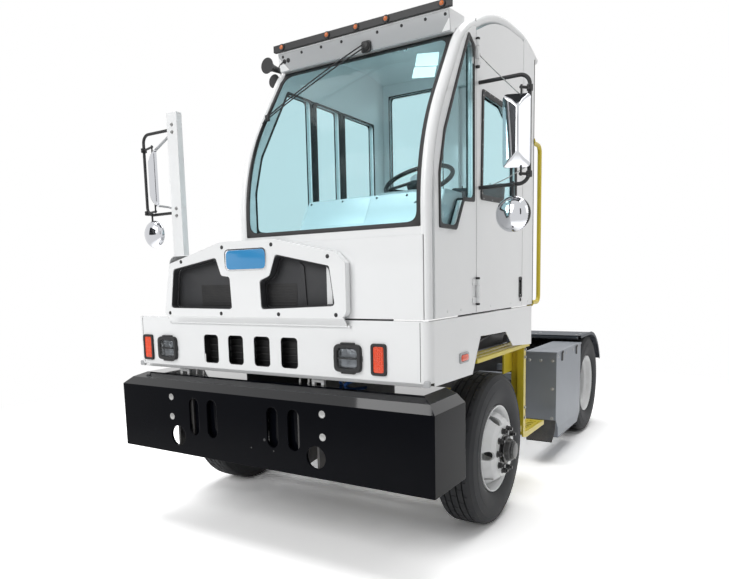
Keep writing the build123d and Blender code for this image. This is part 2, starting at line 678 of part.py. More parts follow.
def build_steps():
    """Yellow entry steps behind the left front wheel."""
    steps = step_tread(1000, 1138, station(790), fender_rear_y - 20, 1200)
    post = fender_rear_y - 20
    steps += block(1000, 1012, post - 220, post, 980, 1200 - tread_depth)
    steps += block(1060, 1110, post - 50, post, 560, 1200 - tread_depth) - block(
        1064, 1106, post - 46, post - 4, 550, 1170)
    steps += block(1000, 1060, post - 12, post, 560, 1200 - tread_depth)
    steps += block(chassis_x + frame_width / 2, 1060, post - 12, post, 735, 800)
    beam = prism_x([(post - 50, 560), (post - 50, 470), (station(1900), 450), (station(2380), 450),
                    (station(2380), 486), (post, 500), (post, 560)], 1098, 1110)
    steps += beam
    steps += step_tread(890, 1098, station(1905), station(2370), 486)
    save("cab_steps", steps)


def build_deck():
    """Chequer plate over the rails behind the cab."""
    deck = block(chassis_x - frame_width / 2, chassis_x + frame_width / 2, station(1960), boom_pivot_y - 260,
                 rail_top_z, rail_top_z + 6)
    save("deck_plate", deck)


def build_exhaust():
    """Muffler across the frame ahead of the fuel tank, its inlet pipe under the rail and its outlet turned down."""
    y, z = (fender_rear_y + tank_front_y) / 2, 640
    inner = chassis_x - frame_width / 2 - 60
    outer = panel_right_x + 90
    muffler = cylinder_x(inner, outer, y, z, 118)
    muffler = fillet(muffler.edges().filter_by(GeomType.CIRCLE), 16)
    muffler += bent_tube([(inner - 10, y, z - 20), (-300, y, z - 20), (-300, station(1400), z - 20)], 90, 40)
    muffler += bent_tube([(outer + 10, y, z - 40), (outer - 60, y, z - 40), (outer - 60, y, z - 200)], 50, 38)
    web = chassis_x - frame_width / 2
    for x in (inner - 60, outer + 60):
        muffler += cylinder_x(x - 18, x + 18, y, z, 124)
        muffler += block(x - 18, x + 18, y - 5, y + 5, z, 800)
    muffler += block(outer + 42, web, y - 5, y + 5, 790, 830)
    save("exhaust", muffler)


def air_tanks():
    """Two air tanks under the deck, hung from it by their straps."""
    tanks = []
    for x in (chassis_x - 250, chassis_x + 250):
        tank = cylinder_y(x, station(2080), station(2440), rail_top_z - 140, 118)
        tank = fillet(tank.edges().filter_by(GeomType.CIRCLE), 40)
        for y in (station(2150), station(2370)):
            tank += block(x - 30, x + 30, y - 15, y + 15, rail_top_z - 60, rail_top_z)
        tanks.append(tank)
    return tanks


def cab_rest():
    """Bracket beside the left rail with the two pads that the cab's rear stands on."""
    rest = block(620, 1060, station(1700), station(1770), 1400, cab_seam_z - 24)
    for x in (680, 1000):
        rest += cylinder_z(x, station(1735), cab_seam_z - 24, cab_seam_z - 0.3, 34)
    left = chassis_x + frame_width / 2
    rest += prism_y([(left, 960), (left, 760), (720, 1400), (620, 1400)], station(1700), station(1770))
    return rest


def build_sides():
    """What hangs beside and on the rails behind the cab."""
    build_side_box()
    build_fuel_tank()
    build_rear_fenders()
    build_steps()
    build_deck()
    build_exhaust()


mirror_width = 152.0
mirror_height = 400.0
left_mirror_turn = 24.0
right_mirror_turn = 38.0
mirror_reach = 1445.0           # middle of the outer upright of a mirror's loop
round_mirror_radius = 101.0


def mirror_head(place):
    """Mirror housing with a hipped back, its glass towards local +Y."""
    upright = Rot(90, 0, 0)
    head = upright * extrude(RectangleRounded(mirror_width, mirror_height, 26), 16)
    foot = upright * RectangleRounded(mirror_width, mirror_height, 26)
    ridge = RectangleRounded(10, mirror_height - mirror_width, 4)
    head += loft([Pos(0, -16, 0) * foot, Pos(0, -58, 0) * upright * ridge])
    return place * head


def round_mirror(x, y, z):
    """Round convex mirror that looks to the rear, with its ball joint."""
    r = round_mirror_radius
    back = [(0, 0), (0, r), (-10, r + 1), (-24, r - 8), (-42, r * 0.72), (-54, r * 0.4), (-58, 0)]
    face = make_face(Polyline(*[(0, y0, r0) for y0, r0 in back], close=True))
    return Pos(x, y, z) * revolve(face, axis=Axis.Y, revolution_arc=360)


def mirror_set(sign, root_x, y, head_at, turn, round_z):
    """Loop, head, round mirror and arms on one side; sign is +1 on the left."""
    outer = sign * mirror_reach
    top, bottom = 2834, 2233
    loop = bent_tube([(root_x, y, top), (outer, y, top), (outer, y, bottom), (root_x, y, bottom)], 60, 11)
    hx, hy, hz = head_at
    loop += mirror_head(Pos(hx, hy, hz) * Rot(0, 0, sign * turn))
    for end in (1, -1):
        z = hz + end * (mirror_height / 2 - 30)
        far = z + end * 66
        loop += bar((outer, y, far), (hx + sign * 22, hy - 10, far), 8)
        loop += cylinder_z(hx + sign * 30, hy - 8, min(z, far + end * 12), max(z, far + end * 12), 6)
        loop += cylinder_z(outer, y, far - 16, far + 16, 17)
    x = outer - sign * (round_mirror_radius - 16)
    loop += round_mirror(x, y - 12, round_z)
    loop += cylinder_z(x, y - 30, round_z + 60, bottom + 13, 7) + bar((x, y - 40, bottom), (x, y + 14, bottom), 9)
    return loop


def build_right_mirror():
    """Post on the right fender and the mirrors that it carries."""
    x0 = panel_right_x + 10
    post = block(x0, x0 + 106, station(470), station(520), panel_top_z, 2946 + cab_rise)
    post += block(x0 - 20, x0 + 126, station(440), station(550), panel_top_z, panel_top_z + 8)
    save("mirror_post", post)
    save_cab("right_mirror", mirror_set(-1, x0, station(495), (-1262, station(450), 2486),
                                        right_mirror_turn, 2085))


# ---------------------------------------------------------------- cab skin
tube_left_x = cab_left_x - pillar_radius
tube_right_x = cab_right_x + pillar_radius
wall_left_x = cab_left_x - wall      # inner face of the left wall
wall_right_x = cab_right_x + wall    # inner face of the right wall
rear_wall_y = cab_rear_y - wall
floor_gap = 5.0

# centre line of the pillar tube as (station, z): up the windshield, over the roof, to the rear
tube_line = ((138, cab_floor_z), (138, 2395), (575, 3060), (1100, 3315), (1690, 3350), (1975, 3272))
tube_bends = (1100, 420, 1300, 1000)


def skin_path(dy, dz, first=0, last=len(tube_line), x=0.0):
    """A stretch of the tube's centre line moved by (dy, dz) in the plane at x."""
    points = [(x, station(y) + dy, z + dz) for y, z in tube_line[first:last]]
    return FilletPolyline(*points, radius=tube_bends[first:last - 2])


def side_face(dy, dz, x, rear_y, bottom_z):
    """Side outline of the cab under the tube's line."""
    top = skin_path(dy, dz, x=x)
    end = top @ 1
    start = top @ 0
    rim = (top + Line(end, (x, end.Y, bottom_z)) + Line((x, end.Y, bottom_z), (x, start.Y, bottom_z))
           + Line((x, start.Y, bottom_z), start)) if start.Z > bottom_z + 0.01 else (
        top + Line(end, (x, end.Y, bottom_z)) + Line((x, end.Y, bottom_z), start))
    return make_face(rim)


def side_solid(x0, x1, rear_y=cab_rear_y, bottom_z=cab_floor_z):
    """Solid under the tube's line between two X values, cut off at the cab's rear."""
    solid = extrude(side_face(0, 0, x0, rear_y, cab_floor_z), amount=x1 - x0, dir=(1, 0, 0))
    return solid & block(x0 - 1, x1 + 1, front_y, rear_y, bottom_z, 4000)


def pillar_tube(x, radius=pillar_radius):
    """Tube that edges the windshield and the roof on one side."""
    path = skin_path(0, 0, x=x)
    return sweep(Plane(path @ 0, z_dir=path % 0) * Circle(radius), path=path)


def roof_band(top, bottom, x0, x1):
    """Roof sheet between two heights about the tube's line."""
    up = skin_path(0, top, first=2, x=x0)
    down = skin_path(0, -bottom, first=2, x=x0)
    rim = up + down + Line(up @ 1, down @ 1) + Line(up @ 0, down @ 0)
    return extrude(make_face(rim), amount=x1 - x0, dir=(1, 0, 0))


def glass_band(dy0, dy1, z0, z1, x0, x1):
    """Curved windshield sheet between two shifts of the tube's line."""
    near = skin_path(dy0, 0, last=3, x=x0)
    far = skin_path(dy1, 0, last=3, x=x0)
    rim = near + far + Line(near @ 1, far @ 1) + Line(near @ 0, far @ 0)
    sheet = extrude(make_face(rim), amount=x1 - x0, dir=(1, 0, 0))
    return sheet & block(x0 - 1, x1 + 1, front_y, station(700), z0, z1)


def build_cab():
    """Cab structure: tubes, walls, floor and roof."""
    tubes = pillar_tube(tube_left_x) + pillar_tube(tube_right_x)
    sill = block(tube_right_x, tube_left_x, station(118), station(158), windshield_bottom_z - 45, windshield_bottom_z)
    tubes = (tubes + sill) - block(-3000, 3000, front_y, front_y + 3000, tunnel_top_z - 2000, cab_floor_z)
    right_trim = block(cab_right_x - 5, tube_right_x + 40, front_y, station(300), cab_floor_z - 5, tunnel_top_z)
    tubes = tubes - right_trim
    save_cab("cab_frame", tubes)

    front = block(tunnel_left_x, tube_left_x, panel_front_y, panel_front_y + wall, cab_floor_z, windshield_bottom_z - 45)
    front += block(tube_right_x, tunnel_left_x, panel_front_y, panel_front_y + wall, 1876, windshield_bottom_z - 45)

    floor = prism_y([(wall_right_x, tunnel_top_z), (tunnel_left_x, tunnel_top_z), (tunnel_left_x, cab_floor_z),
                     (wall_left_x - floor_gap, cab_floor_z), (wall_left_x - floor_gap, cab_floor_z + 40),
                     (tunnel_left_x + wall, cab_floor_z + 40), (tunnel_left_x + wall, tunnel_top_z + wall),
                     (wall_right_x, tunnel_top_z + wall)], station(148), rear_wall_y)
    save_cab("cab_floor", floor + front - tubes)

    roof = roof_band(16, 22, tube_right_x, tube_left_x)
    brow = prism_x([(station(512), 3045), (station(488), 3158), (station(700), 3180), (station(700), 3110),
                    (station(590), 3050)], tube_right_x + 20, tube_left_x - 20)
    roof = (roof + brow) - tubes
    save_cab("cab_roof", roof)

    screen = glass_band(-14, -8, windshield_bottom_z, windshield_top_z, tube_right_x, tube_left_x) - tubes - roof

    quarter_cut = prism_x([(station(236), 1975), (station(452), 1975), (station(560), 2140), (station(715), 2150),
                           (station(715), 3020), (station(640), 3060), (station(560), 2930), (station(460), 2760),
                           (station(300), 2480), (station(232), 2250)], wall_left_x - 10, cab_left_x + 10)
    left = side_solid(wall_left_x, cab_left_x) - tubes - pillar_tube(tube_left_x, pillar_radius + 0.2)
    quarter = (left & block(0, 2000, fender_front_y + 12, door_front_y - door_gap / 2, cab_floor_z, 4000)) - quarter_cut
    corner = left & block(0, 2000, door_rear_y + door_gap / 2, cab_rear_y, cab_floor_z, 4000)
    quarter -= roof + front
    for z in door_hinge_z:
        for end in (-1, 1):
            quarter += cylinder_z(door_hinge_x, door_hinge_y, z + end * 54 - 18, z + end * 54 + 18, 11)
            quarter += block(cab_left_x, door_hinge_x, door_hinge_y - 8, door_hinge_y, z + end * 54 - 18, z + end * 54 + 18)
            quarter += block(cab_left_x, cab_left_x + 5, door_hinge_y - 60, door_hinge_y - 2, z + end * 54 - 18,
                             z + end * 54 + 18)
        quarter += cylinder_z(door_hinge_x, door_hinge_y, z - 70, z + 70, door_pin_radius)
    save_cab("cab_left_wall", Compound(children=[quarter, corner - roof]))

    right = side_solid(cab_right_x, wall_right_x, bottom_z=tunnel_top_z) - tubes - pillar_tube(
        tube_right_x, pillar_radius + 0.2) - roof
    panes = [prism_x([(station(232), 2010), (station(836), 2010), (station(836), 2940), (station(590), 2940),
                      (station(300), 2480), (station(232), 2250)], cab_right_x - 10, wall_right_x + 10),
             block(cab_right_x - 10, wall_right_x + 10, station(900), station(1190), 2010, 2940),
             block(cab_right_x - 10, wall_right_x + 10, station(1262), station(1690), 2010, 2940)]
    for pane in panes:
        right -= pane
    save_cab("cab_right_wall", right)

    rear = block(wall_right_x, wall_left_x, rear_wall_y, cab_rear_y, cab_floor_z, 3360) & side_solid(-2000, 2000)
    rear = rear - roof - tubes
    rear -= block(-1000, tunnel_left_x + wall, rear_wall_y - 5, cab_rear_y + 5, cab_floor_z - 5, tunnel_top_z)
    rear_pane = block(-51, 430, rear_wall_y - 10, cab_rear_y + 10, 2060, 3190)
    doorway = block(560, 1040, rear_wall_y - 10, cab_rear_y + 10, cab_floor_z + 60, 3170)
    save_cab("cab_rear_wall", rear - rear_pane - doorway)

    left_mid = cab_left_x - 24
    right_mid = cab_right_x + 18
    quarter_glass = quarter_cut & block(left_mid, left_mid + glass, front_y, front_y + 3000, 0, 4000)
    side_panes = [pane & block(right_mid, right_mid + glass, front_y, front_y + 3000, 0, 4000) for pane in panes]
    rear_glass = rear_pane & block(-1000, 2000, rear_wall_y + 17, rear_wall_y + 17 + glass, 0, 4000)
    save_cab("cab_glass", Compound(children=[screen, quarter_glass, rear_glass] + side_panes))

    hanging = block(tube_right_x, tube_left_x, station(468), station(492), 3160, 3200)
    save_cab("marker_bar", hanging)

    horns = block(cab_right_x - 4, cab_right_x, station(600), station(650), 2930, 3032)
    horns += block(-200, cab_right_x, station(612), station(638), 3018, 3030)
    horns += cylinder_z(-180, station(625), 3024, 3097, 9)
    for x, y, z, length, mouth in ((-180, station(475), 3097, 270, 50), (-195, station(560), 3024, 200, 44)):
        bell = [(0, 0), (0, 11), (-length * 0.5, 16), (-length * 0.8, 22), (-length * 0.93, mouth * 0.7),
                (-length, mouth), (-length, 0)]
        face = make_face(Polyline(*[(0, y0, r0) for y0, r0 in bell], close=True))
        horns += Pos(x, y + length, z) * revolve(face, axis=Axis.Y, revolution_arc=360)
    save_cab("air_horns", horns)


door_hinge_x = cab_left_x + 12.0
door_hinge_y = door_front_y - 7.0
door_hinge_z = (1620.0, 2985.0)
door_pin_radius = 5.0


def build_doors():
    """Hinged left door with its mirror, and the sliding rear door."""
    door = side_solid(wall_left_x + 2, cab_left_x) & block(
        0, 2000, door_front_y + door_gap / 2, door_rear_y - door_gap / 2, cab_floor_z, 4000)
    door -= pillar_tube(tube_left_x, pillar_radius + 14)
    window = prism_x([(station(835), 2180), (station(1480), 2200), (station(1480), 2700), (station(1300), 2760),
                      (station(1230), 2800), (station(860), 2800)], wall_left_x - 10, cab_left_x + 10)
    pane = window & block(cab_left_x - 24, cab_left_x - 24 + glass, front_y, front_y + 3000, 0, 4000)
    handle_y = station(1600)
    door -= block(cab_left_x - 14, cab_left_x + 5, handle_y - 22, handle_y + 22, 1560, 1690)
    for z in door_hinge_z:
        door += cylinder_z(door_hinge_x, door_hinge_y, z - 34, z + 34, 11)
        door += block(cab_left_x - 12, door_hinge_x, door_hinge_y + 4, door_hinge_y + 16, z - 34, z + 34)
        door += block(cab_left_x, cab_left_x + 5, door_hinge_y + 10, door_hinge_y + 80, z - 34, z + 34)
        door -= cylinder_z(door_hinge_x, door_hinge_y, z - 60, z + 60, door_pin_radius + running_gap)
    save_cab("left_door", door - window)
    handle = block(cab_left_x - 14, cab_left_x - 10, handle_y - 22, handle_y + 22, 1560, 1690)
    handle += block(cab_left_x - 10, cab_left_x + 8, handle_y - 9, handle_y + 9, 1660, 1676)
    handle += block(cab_left_x + 2, cab_left_x + 10, handle_y - 9, handle_y + 9, 1575, 1676)
    save_cab("door_handle", handle)
    save_cab("left_door_glass", pane)

    save_cab("left_mirror", mirror_set(1, cab_left_x, station(800), (1381, station(764), 2519),
                                       left_mirror_turn, 2063))

    y0 = cab_rear_y + 6
    leaf = block(540, 1060, y0, y0 + 30, cab_floor_z + 50, 3180)
    cut = block(620, 980, y0 - 5, y0 + 35, 2060, 3080)
    save_cab("rear_door", leaf - cut)
    save_cab("rear_door_glass", cut & block(0, 2000, y0 + 12, y0 + 12 + glass, 0, 4000))


def build_interior():
    """Dashboard, steering wheel and driver's seat, and the yellow handrail outside."""
    dash = prism_x([(station(300), 1976), (station(430), 2195), (station(660), 2195), (station(660), 1976)], 160, 1090)
    save_cab("dashboard", dash)
    x = 764
    centre = Pos(x, station(760), 2310) * Rot(32, 0, 0)
    wheel = centre * Torus(212, 14)
    wheel += centre * Cylinder(45, 30)
    for i in range(3):
        wheel += centre * Rot(0, 0, 90 + 120 * i) * Pos(110, 0, 0) * Box(205, 26, 10)
    wheel += bar((x, station(760), 2310), (x, station(660), 2150), 26)
    save_cab("steering_wheel", wheel - dash)
    x = 792
    seat = prism_x([(station(1130), 2010), (station(1150), 1955), (station(1620), 1955), (station(1620), 2030),
                    (station(1200), 2075), (station(1145), 2060)], x - 245, x + 245)
    back = prism_x([(station(1560), 2036), (station(1650), 2020), (station(1765), 2620), (station(1670), 2640)],
                   x - 235, x + 235)
    rest = prism_x([(station(1672), 2655), (station(1762), 2640), (station(1790), 2820), (station(1710), 2835)],
                   x - 140, x + 140)
    seat = fillet(seat.edges(), 18) + fillet(back.edges(), 24) + fillet(rest.edges(), 24)
    for side in (-70, 70):
        seat += bar((x + side, station(1710), 2600), (x + side, station(1735), 2700), 8)
    seat += block(x - 170, x + 170, station(1220), station(1560), cab_floor_z + 40, 1700)
    seat += block(x - 110, x + 110, station(1290), station(1500), 1700, 1870)
    seat += block(x - 200, x + 200, station(1180), station(1590), 1870, 1956)
    save_cab("driver_seat", seat)
    rail = bent_tube([(1124, cab_rear_y, 2690), (1124, station(2120), 2690), (1124, station(2120), 1500),
                      (1124, cab_rear_y, 1500)], 50, 16)
    save_cab("handrail", rail)
    x0, x1, foot, barrel_z = grille_right_x, grille_left_x, cab_floor_z + 4, cab_floor_z - tilt_drop
    frame = prism_y([(x0, foot), (x1, foot), (x1, 1800), (x1 - 60, 1860), (150, 1955), (-270, 1955), (-737, 1836)],
                    station(58), station(104))
    frame -= prism_y([(-740, 1545), (-190, 1540), (-200, 1740), (-270, 1748), (-312, 1862), (-700, 1800)],
                     station(50), station(110))
    frame -= prism_y([(48, 1540), (585, 1562), (553, 1786), (170, 1864), (120, 1740), (42, 1712)],
                     station(50), station(110))
    corner = frame.edges().filter_by(Axis.Y).filter_by(lambda e: e.center().Z < foot + 1 and e.center().X > x1 - 1)
    frame = fillet(fillet(corner, 46).edges().filter_by(Axis.Y).filter_by(lambda e: e.length > 45.9), 20)
    skirt = prism_x([(station(58), foot + 4), (station(58), foot - 2), (hinge_y - 3, barrel_z + 1), (hinge_y + 1, barrel_z + 4),
                     (station(64), foot + 4)], x0 + 18, x1 - 18)
    skirt += cylinder_x(x0 + 18, x1 - 18, hinge_y, barrel_z, hinge_barrel_radius)
    skirt -= cylinder_x(x0, x1, hinge_y, barrel_z, hinge_pin_radius + running_gap)
    save_cab("grille_frame", frame + skirt)


def build_lamps():
    """Headlamps and turn signals in the lower panel, as separate lens blocks."""
    lamps = []
    for sign in (1, -1):
        lamp = Pos(chassis_x + sign * 741, panel_front_y + 6, lamp_z) * Rot(90, 0, 0)
        lamps.append(lamp * extrude(RectangleRounded(168, 148, 39), 20, both=True))
        signal = Pos(chassis_x + sign * 941, panel_front_y + 6, lamp_z) * Rot(90, 0, 0)
        lamps.append(signal * extrude(RectangleRounded(90, 170, 21), 14, both=True))
    save("front_lamps", Compound(children=lamps))


# ---------------------------------------------------------------- fifth wheel and lift
plate_thickness = 14.0
plate_depth = 44.0
jaw_bottom_z = plate_top_z - 54.0
ramp = ((trunnion_y + 300, 0.0), (trunnion_y + 561, 30.0))   # how far the tails fall below the top


def plate_face(inset):
    """Outline of the fifth wheel's plate, drawn in by the inset."""
    x, y = chassis_x, trunnion_y
    outline = [(x - 457, y - 200), (x - 380, y - 330), (x + 380, y - 330), (x + 457, y - 200), (x + 457, y + 250),
               (x + 380, y + 560), (x - 380, y + 560), (x - 457, y + 250)]
    face = make_face(Polyline(*[(u, v, 0) for u, v in outline], close=True))
    return offset(face, -inset, kind=Kind.INTERSECTION) if inset else face


def fall_wedge(drop):
    """What lies above the plate's top, the tails sloping down to the rear."""
    (y0, z0), (y1, z1) = ramp
    top = plate_top_z - drop
    return prism_x([(y0, top - z0), (y1, top - z1), (y1, top + 99), (y0, top + 99)], -2000, 2000)


def throat(widen):
    """Mouth that leads the kingpin forward to the trunnion's middle."""
    x, y, r = chassis_x, trunnion_y, kingpin_radius + 0.4 + widen
    outline = [(x - r, y), (x + r, y), (x + r, y + 60), (x + 230 + widen, y + 570), (x - 230 - widen, y + 570),
               (x - r, y + 60)]
    return prism_z(outline, jaw_bottom_z - 1, plate_top_z + 1) + cylinder_z(x, y, jaw_bottom_z - 1, plate_top_z + 1, r)


def fifth_wheel():
    """Ribbed top plate with its skirt, sloping tails, jaw block and trunnion ears."""
    floor_z = plate_top_z - plate_depth
    full = Pos(0, 0, floor_z) * extrude(plate_face(0), amount=plate_depth, dir=(0, 0, 1)) - fall_wedge(0)
    hollow = Pos(0, 0, floor_z - 1) * extrude(plate_face(12), amount=plate_depth - plate_thickness + 1, dir=(0, 0, 1))
    hollow = hollow - fall_wedge(plate_thickness) - throat(12)
    for y in (trunnion_y - 190, trunnion_y + 120, trunnion_y + 330):
        hollow -= block(chassis_x - 460, chassis_x + 460, y - 6, y + 6, floor_z - 2, plate_top_z)
    plate = full - hollow
    plate += block(chassis_x - 110, chassis_x + 110, trunnion_y - 105, trunnion_y + 105, jaw_bottom_z,
                   plate_top_z - plate_thickness)
    for sign in (1, -1):
        x = chassis_x + sign * 298
        plate += prism_x([(trunnion_y - 100, plate_top_z - plate_thickness), (trunnion_y - 48, trunnion_z - 30),
                          (trunnion_y, trunnion_z - 52), (trunnion_y + 48, trunnion_z - 30),
                          (trunnion_y + 100, plate_top_z - plate_thickness)], x - 18, x + 18)
    plate -= throat(0)
    return plate - cylinder_x(chassis_x - 330, chassis_x + 330, trunnion_y, trunnion_z, 32 + running_gap)


def build_lift():
    """Lift boom, fifth wheel plate and the two lift cylinders."""
    arms = None
    for sign in (1, -1):
        x = chassis_x + sign * 250
        arm = prism_x([(boom_pivot_y - 55, boom_pivot_z - 55), (boom_pivot_y + 60, boom_pivot_z - 60),
                       (trunnion_y, trunnion_z - 130), (trunnion_y + 60, trunnion_z - 50),
                       (trunnion_y + 60, trunnion_z + 30), (trunnion_y + 30, trunnion_z + 55),
                       (trunnion_y - 30, trunnion_z + 55), (trunnion_y - 70, trunnion_z + 10),
                       (trunnion_y - 300, trunnion_z - 20), (boom_pivot_y + 60, boom_pivot_z + 60),
                       (boom_pivot_y - 55, boom_pivot_z + 55)], x - 14, x + 14)
        arms = arm if arms is None else arms + arm
    arms += cylinder_x(chassis_x - 318, chassis_x + 318, boom_pivot_y, boom_pivot_z, boom_pin_radius)
    arms += cylinder_x(chassis_x - 264, chassis_x + 264, boom_pivot_y, boom_pivot_z, 52)
    arms += block(chassis_x - 240, chassis_x + 240, boom_pivot_y + 150, boom_pivot_y + 400, 870, 895)
    arms += cylinder_x(chassis_x - 264, chassis_x + 264, trunnion_y - 60, trunnion_z - 60, 45)
    arms += cylinder_x(chassis_x - 330, chassis_x + 330, trunnion_y, trunnion_z, 32)
    arms += cylinder_x(chassis_x - 250, chassis_x + 250, eye_y, eye_z, eye_pin_radius)
    save("lift_boom", arms)

    save("fifth_wheel", fifth_wheel())

    barrels, rods = [], []
    for sign in (1, -1):
        x = chassis_x + sign * cylinder_x_offset
        foot = Vector(x, cylinder_foot_y, cylinder_foot_z)
        eye = Vector(x, eye_y, eye_z)
        along = (eye - foot).normalized()
        length = (eye - foot).length
        barrel = bar(foot + along * 30, foot + along * (length - 120), 52)
        barrel += cylinder_x(x - 22, x + 22, cylinder_foot_y, cylinder_foot_z, 42)
        barrel -= cylinder_x(x - 60, x + 60, cylinder_foot_y, cylinder_foot_z, foot_pin_radius + running_gap)
        barrel -= bar(foot + along * 90, foot + along * (length + 200), 30 + running_gap)
        barrels.append(barrel)
        rod = bar(foot + along * 120, eye - along * 20, 30)
        rod += cylinder_x(x - 22, x + 22, eye_y, eye_z, 46)
        rod -= cylinder_x(x - 60, x + 60, eye_y, eye_z, eye_pin_radius + eye_drift)
        rods.append(rod)
    save("lift_barrels", Compound(children=barrels))
    save("lift_rods", Compound(children=rods))


eye_y = boom_pivot_y + 850.0
eye_z = boom_pivot_z + 50.0
eye_pin_radius = 22.0
eye_drift = 4.2


def main():
    os.makedirs("parts", exist_ok=True)
    build_wheels()
    build_frame()
    build_bumper()
    build_front_panel()
    build_fenders()
    build_engine_bay()
    build_front_axle()
    build_steering()
    build_rear_axle()
    build_sides()
    build_right_mirror()
    build_cab()
    build_doors()
    build_interior()
    build_lamps()
    build_lift()


main()
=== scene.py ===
"""Visual model of a terminal tractor, built on its packed mechanical frame.

Metres. X runs to the vehicle's left, Y to its rear and Z up from the ground.
"""

import itertools
import json
import logging
import math
from dataclasses import dataclass
from enum import Enum
from typing import Callable, ClassVar, Sequence

import bmesh
import bpy
import numpy as np
from bmesh.types import BMEdge, BMesh
from bpy.types import ID, Material, Node, NodeSocket, NodeTree, Object, ShaderNodeTree
from mathutils import Matrix, Vector, geometry

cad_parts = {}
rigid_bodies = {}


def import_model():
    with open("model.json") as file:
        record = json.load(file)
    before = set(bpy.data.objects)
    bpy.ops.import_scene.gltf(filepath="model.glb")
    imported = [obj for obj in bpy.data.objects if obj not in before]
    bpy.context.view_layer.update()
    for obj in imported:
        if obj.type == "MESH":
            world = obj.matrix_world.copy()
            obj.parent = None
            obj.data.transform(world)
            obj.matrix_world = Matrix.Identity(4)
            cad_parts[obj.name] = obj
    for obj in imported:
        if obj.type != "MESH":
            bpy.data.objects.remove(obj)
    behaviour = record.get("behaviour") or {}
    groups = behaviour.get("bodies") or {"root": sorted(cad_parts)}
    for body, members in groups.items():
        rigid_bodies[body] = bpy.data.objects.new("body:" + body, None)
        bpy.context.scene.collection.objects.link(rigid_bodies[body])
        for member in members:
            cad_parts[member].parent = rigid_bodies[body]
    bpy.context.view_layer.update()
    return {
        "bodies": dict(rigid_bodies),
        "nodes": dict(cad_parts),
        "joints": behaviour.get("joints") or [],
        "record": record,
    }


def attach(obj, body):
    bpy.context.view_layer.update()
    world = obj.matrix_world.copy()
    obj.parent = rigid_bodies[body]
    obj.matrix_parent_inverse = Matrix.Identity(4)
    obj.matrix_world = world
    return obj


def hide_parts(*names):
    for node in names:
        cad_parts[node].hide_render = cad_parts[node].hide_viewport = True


LOG = logging.getLogger("tractor")
MM = 0.001
LEFT, FORWARD, REARWARD, UP = (1, 0, 0), (0, -1, 0), (0, 1, 0), (0, 0, 1)
WINDOW_RADII = (10.0, 34.0)  # rounding of a window rubber's outer and inner corners, in millimetres
FRONT_Y = -2.575
CHASSIS_X = -0.106

Colour = tuple[float, float, float]
Point = tuple[float, float, float]
Flat = tuple[float, float]
Place = Callable[[float, float, float], Point]


def station(distance_mm: float) -> float:
    """Y in metres of a point this many millimetres behind the bumper's face."""
    return FRONT_Y + distance_mm * MM


# ---- finishes
class Body(Enum):
    """Names of the moving bodies that pieces ride on."""

    CHASSIS = "chassis"
    CAB = "cab"
    LEFT_DOOR = "left_door"
    REAR_DOOR = "rear_door"
    LEFT_FRONT = "left_front_wheel"
    RIGHT_FRONT = "right_front_wheel"
    LEFT_REAR = "left_rear_wheels"
    RIGHT_REAR = "right_rear_wheels"
    BOOM = "lift_boom"
    FIFTH_WHEEL = "fifth_wheel"


class Detail(Enum):
    """Kinds of fine surface detail a finish can carry."""

    ORANGE_PEEL = "orange peel"
    CAST = "cast skin"
    MOULDED = "moulded grain"
    BRUSHED = "brushed lines"
    WOVEN = "woven cloth"
    RUBBER = "rubber skin"
    SMOOTH = "smooth"


@dataclass(frozen=True)
class Finish:
    """One surface finish and the numbers of its shader."""

    name: str
    slot: str
    colour: Colour
    roughness: float
    detail: Detail = Detail.ORANGE_PEEL
    depth: float = 0.02
    scale: float = 900.0
    mottle: float = 0.04
    metallic: float = 0.0
    coat: float = 0.0
    dust: float = 0.0
    dust_top: float = 1.2
    edge_radius: float = 0.0
    transmission: float = 0.0
    ior: float = 1.45
    emission: float = 0.0
    sheen: float = 0.0
    coat_above: float = 0.0


WHITE = Finish("white_paint", "cab_paint", (0.83, 0.84, 0.845), 0.32, Detail.ORANGE_PEEL, 0.012, 420, 0.02, coat=0.7,
               dust=0.05, edge_radius=0.004)
GLOSS_BLACK = Finish("gloss_black_paint", "bumper_paint", (0.002, 0.0024, 0.004), 0.09, Detail.ORANGE_PEEL, 0.012,
                     120, 0.15, dust=0.004, edge_radius=0.006, ior=1.12, coat_above=0.9)
SATIN_BLACK = Finish("satin_black_paint", "frame_paint", (0.012, 0.012, 0.013), 0.42, Detail.CAST, 0.12, 160, 0.25,
                     coat=0.15, dust=0.25, edge_radius=0.003)
CAST_BLACK = Finish("cast_black_paint", "cast_parts", (0.016, 0.016, 0.017), 0.55, Detail.CAST, 0.5, 110, 0.3,
                    dust=0.35, edge_radius=0.004)
BLACK_TRIM = Finish("black_trim", "black_trim", (0.014, 0.014, 0.015), 0.5, Detail.MOULDED, 0.12, 700, 0.1)
DARK_DUCT = Finish("dark_duct", "machinery", (0.03, 0.031, 0.034), 0.6, Detail.MOULDED, 0.15, 300, 0.2, dust=0.15)
RADIATOR = Finish("radiator_black", "machinery", (0.01, 0.01, 0.011), 0.5, Detail.CAST, 0.3, 200, 0.2, dust=0.2)
TYRE = Finish("tyre_rubber", "tread_rubber", (0.0115, 0.0125, 0.015), 0.72, Detail.RUBBER, 0.25, 180, 0.3, dust=0.05,
              dust_top=0.5)
RUBBER = Finish("black_rubber", "black_trim", (0.013, 0.013, 0.014), 0.55, Detail.RUBBER, 0.1, 400, 0.1)
HUB = Finish("hub_black", "hub_paint", (0.012, 0.012, 0.013), 0.4, Detail.CAST, 0.3, 150, 0.2, coat=0.3,
             edge_radius=0.002)
WHEEL = Finish("wheel_white", "wheel_paint", (0.8, 0.81, 0.815), 0.4, Detail.CAST, 0.08, 220, 0.04, coat=0.3,
               dust=0.18, dust_top=1.4, edge_radius=0.003)
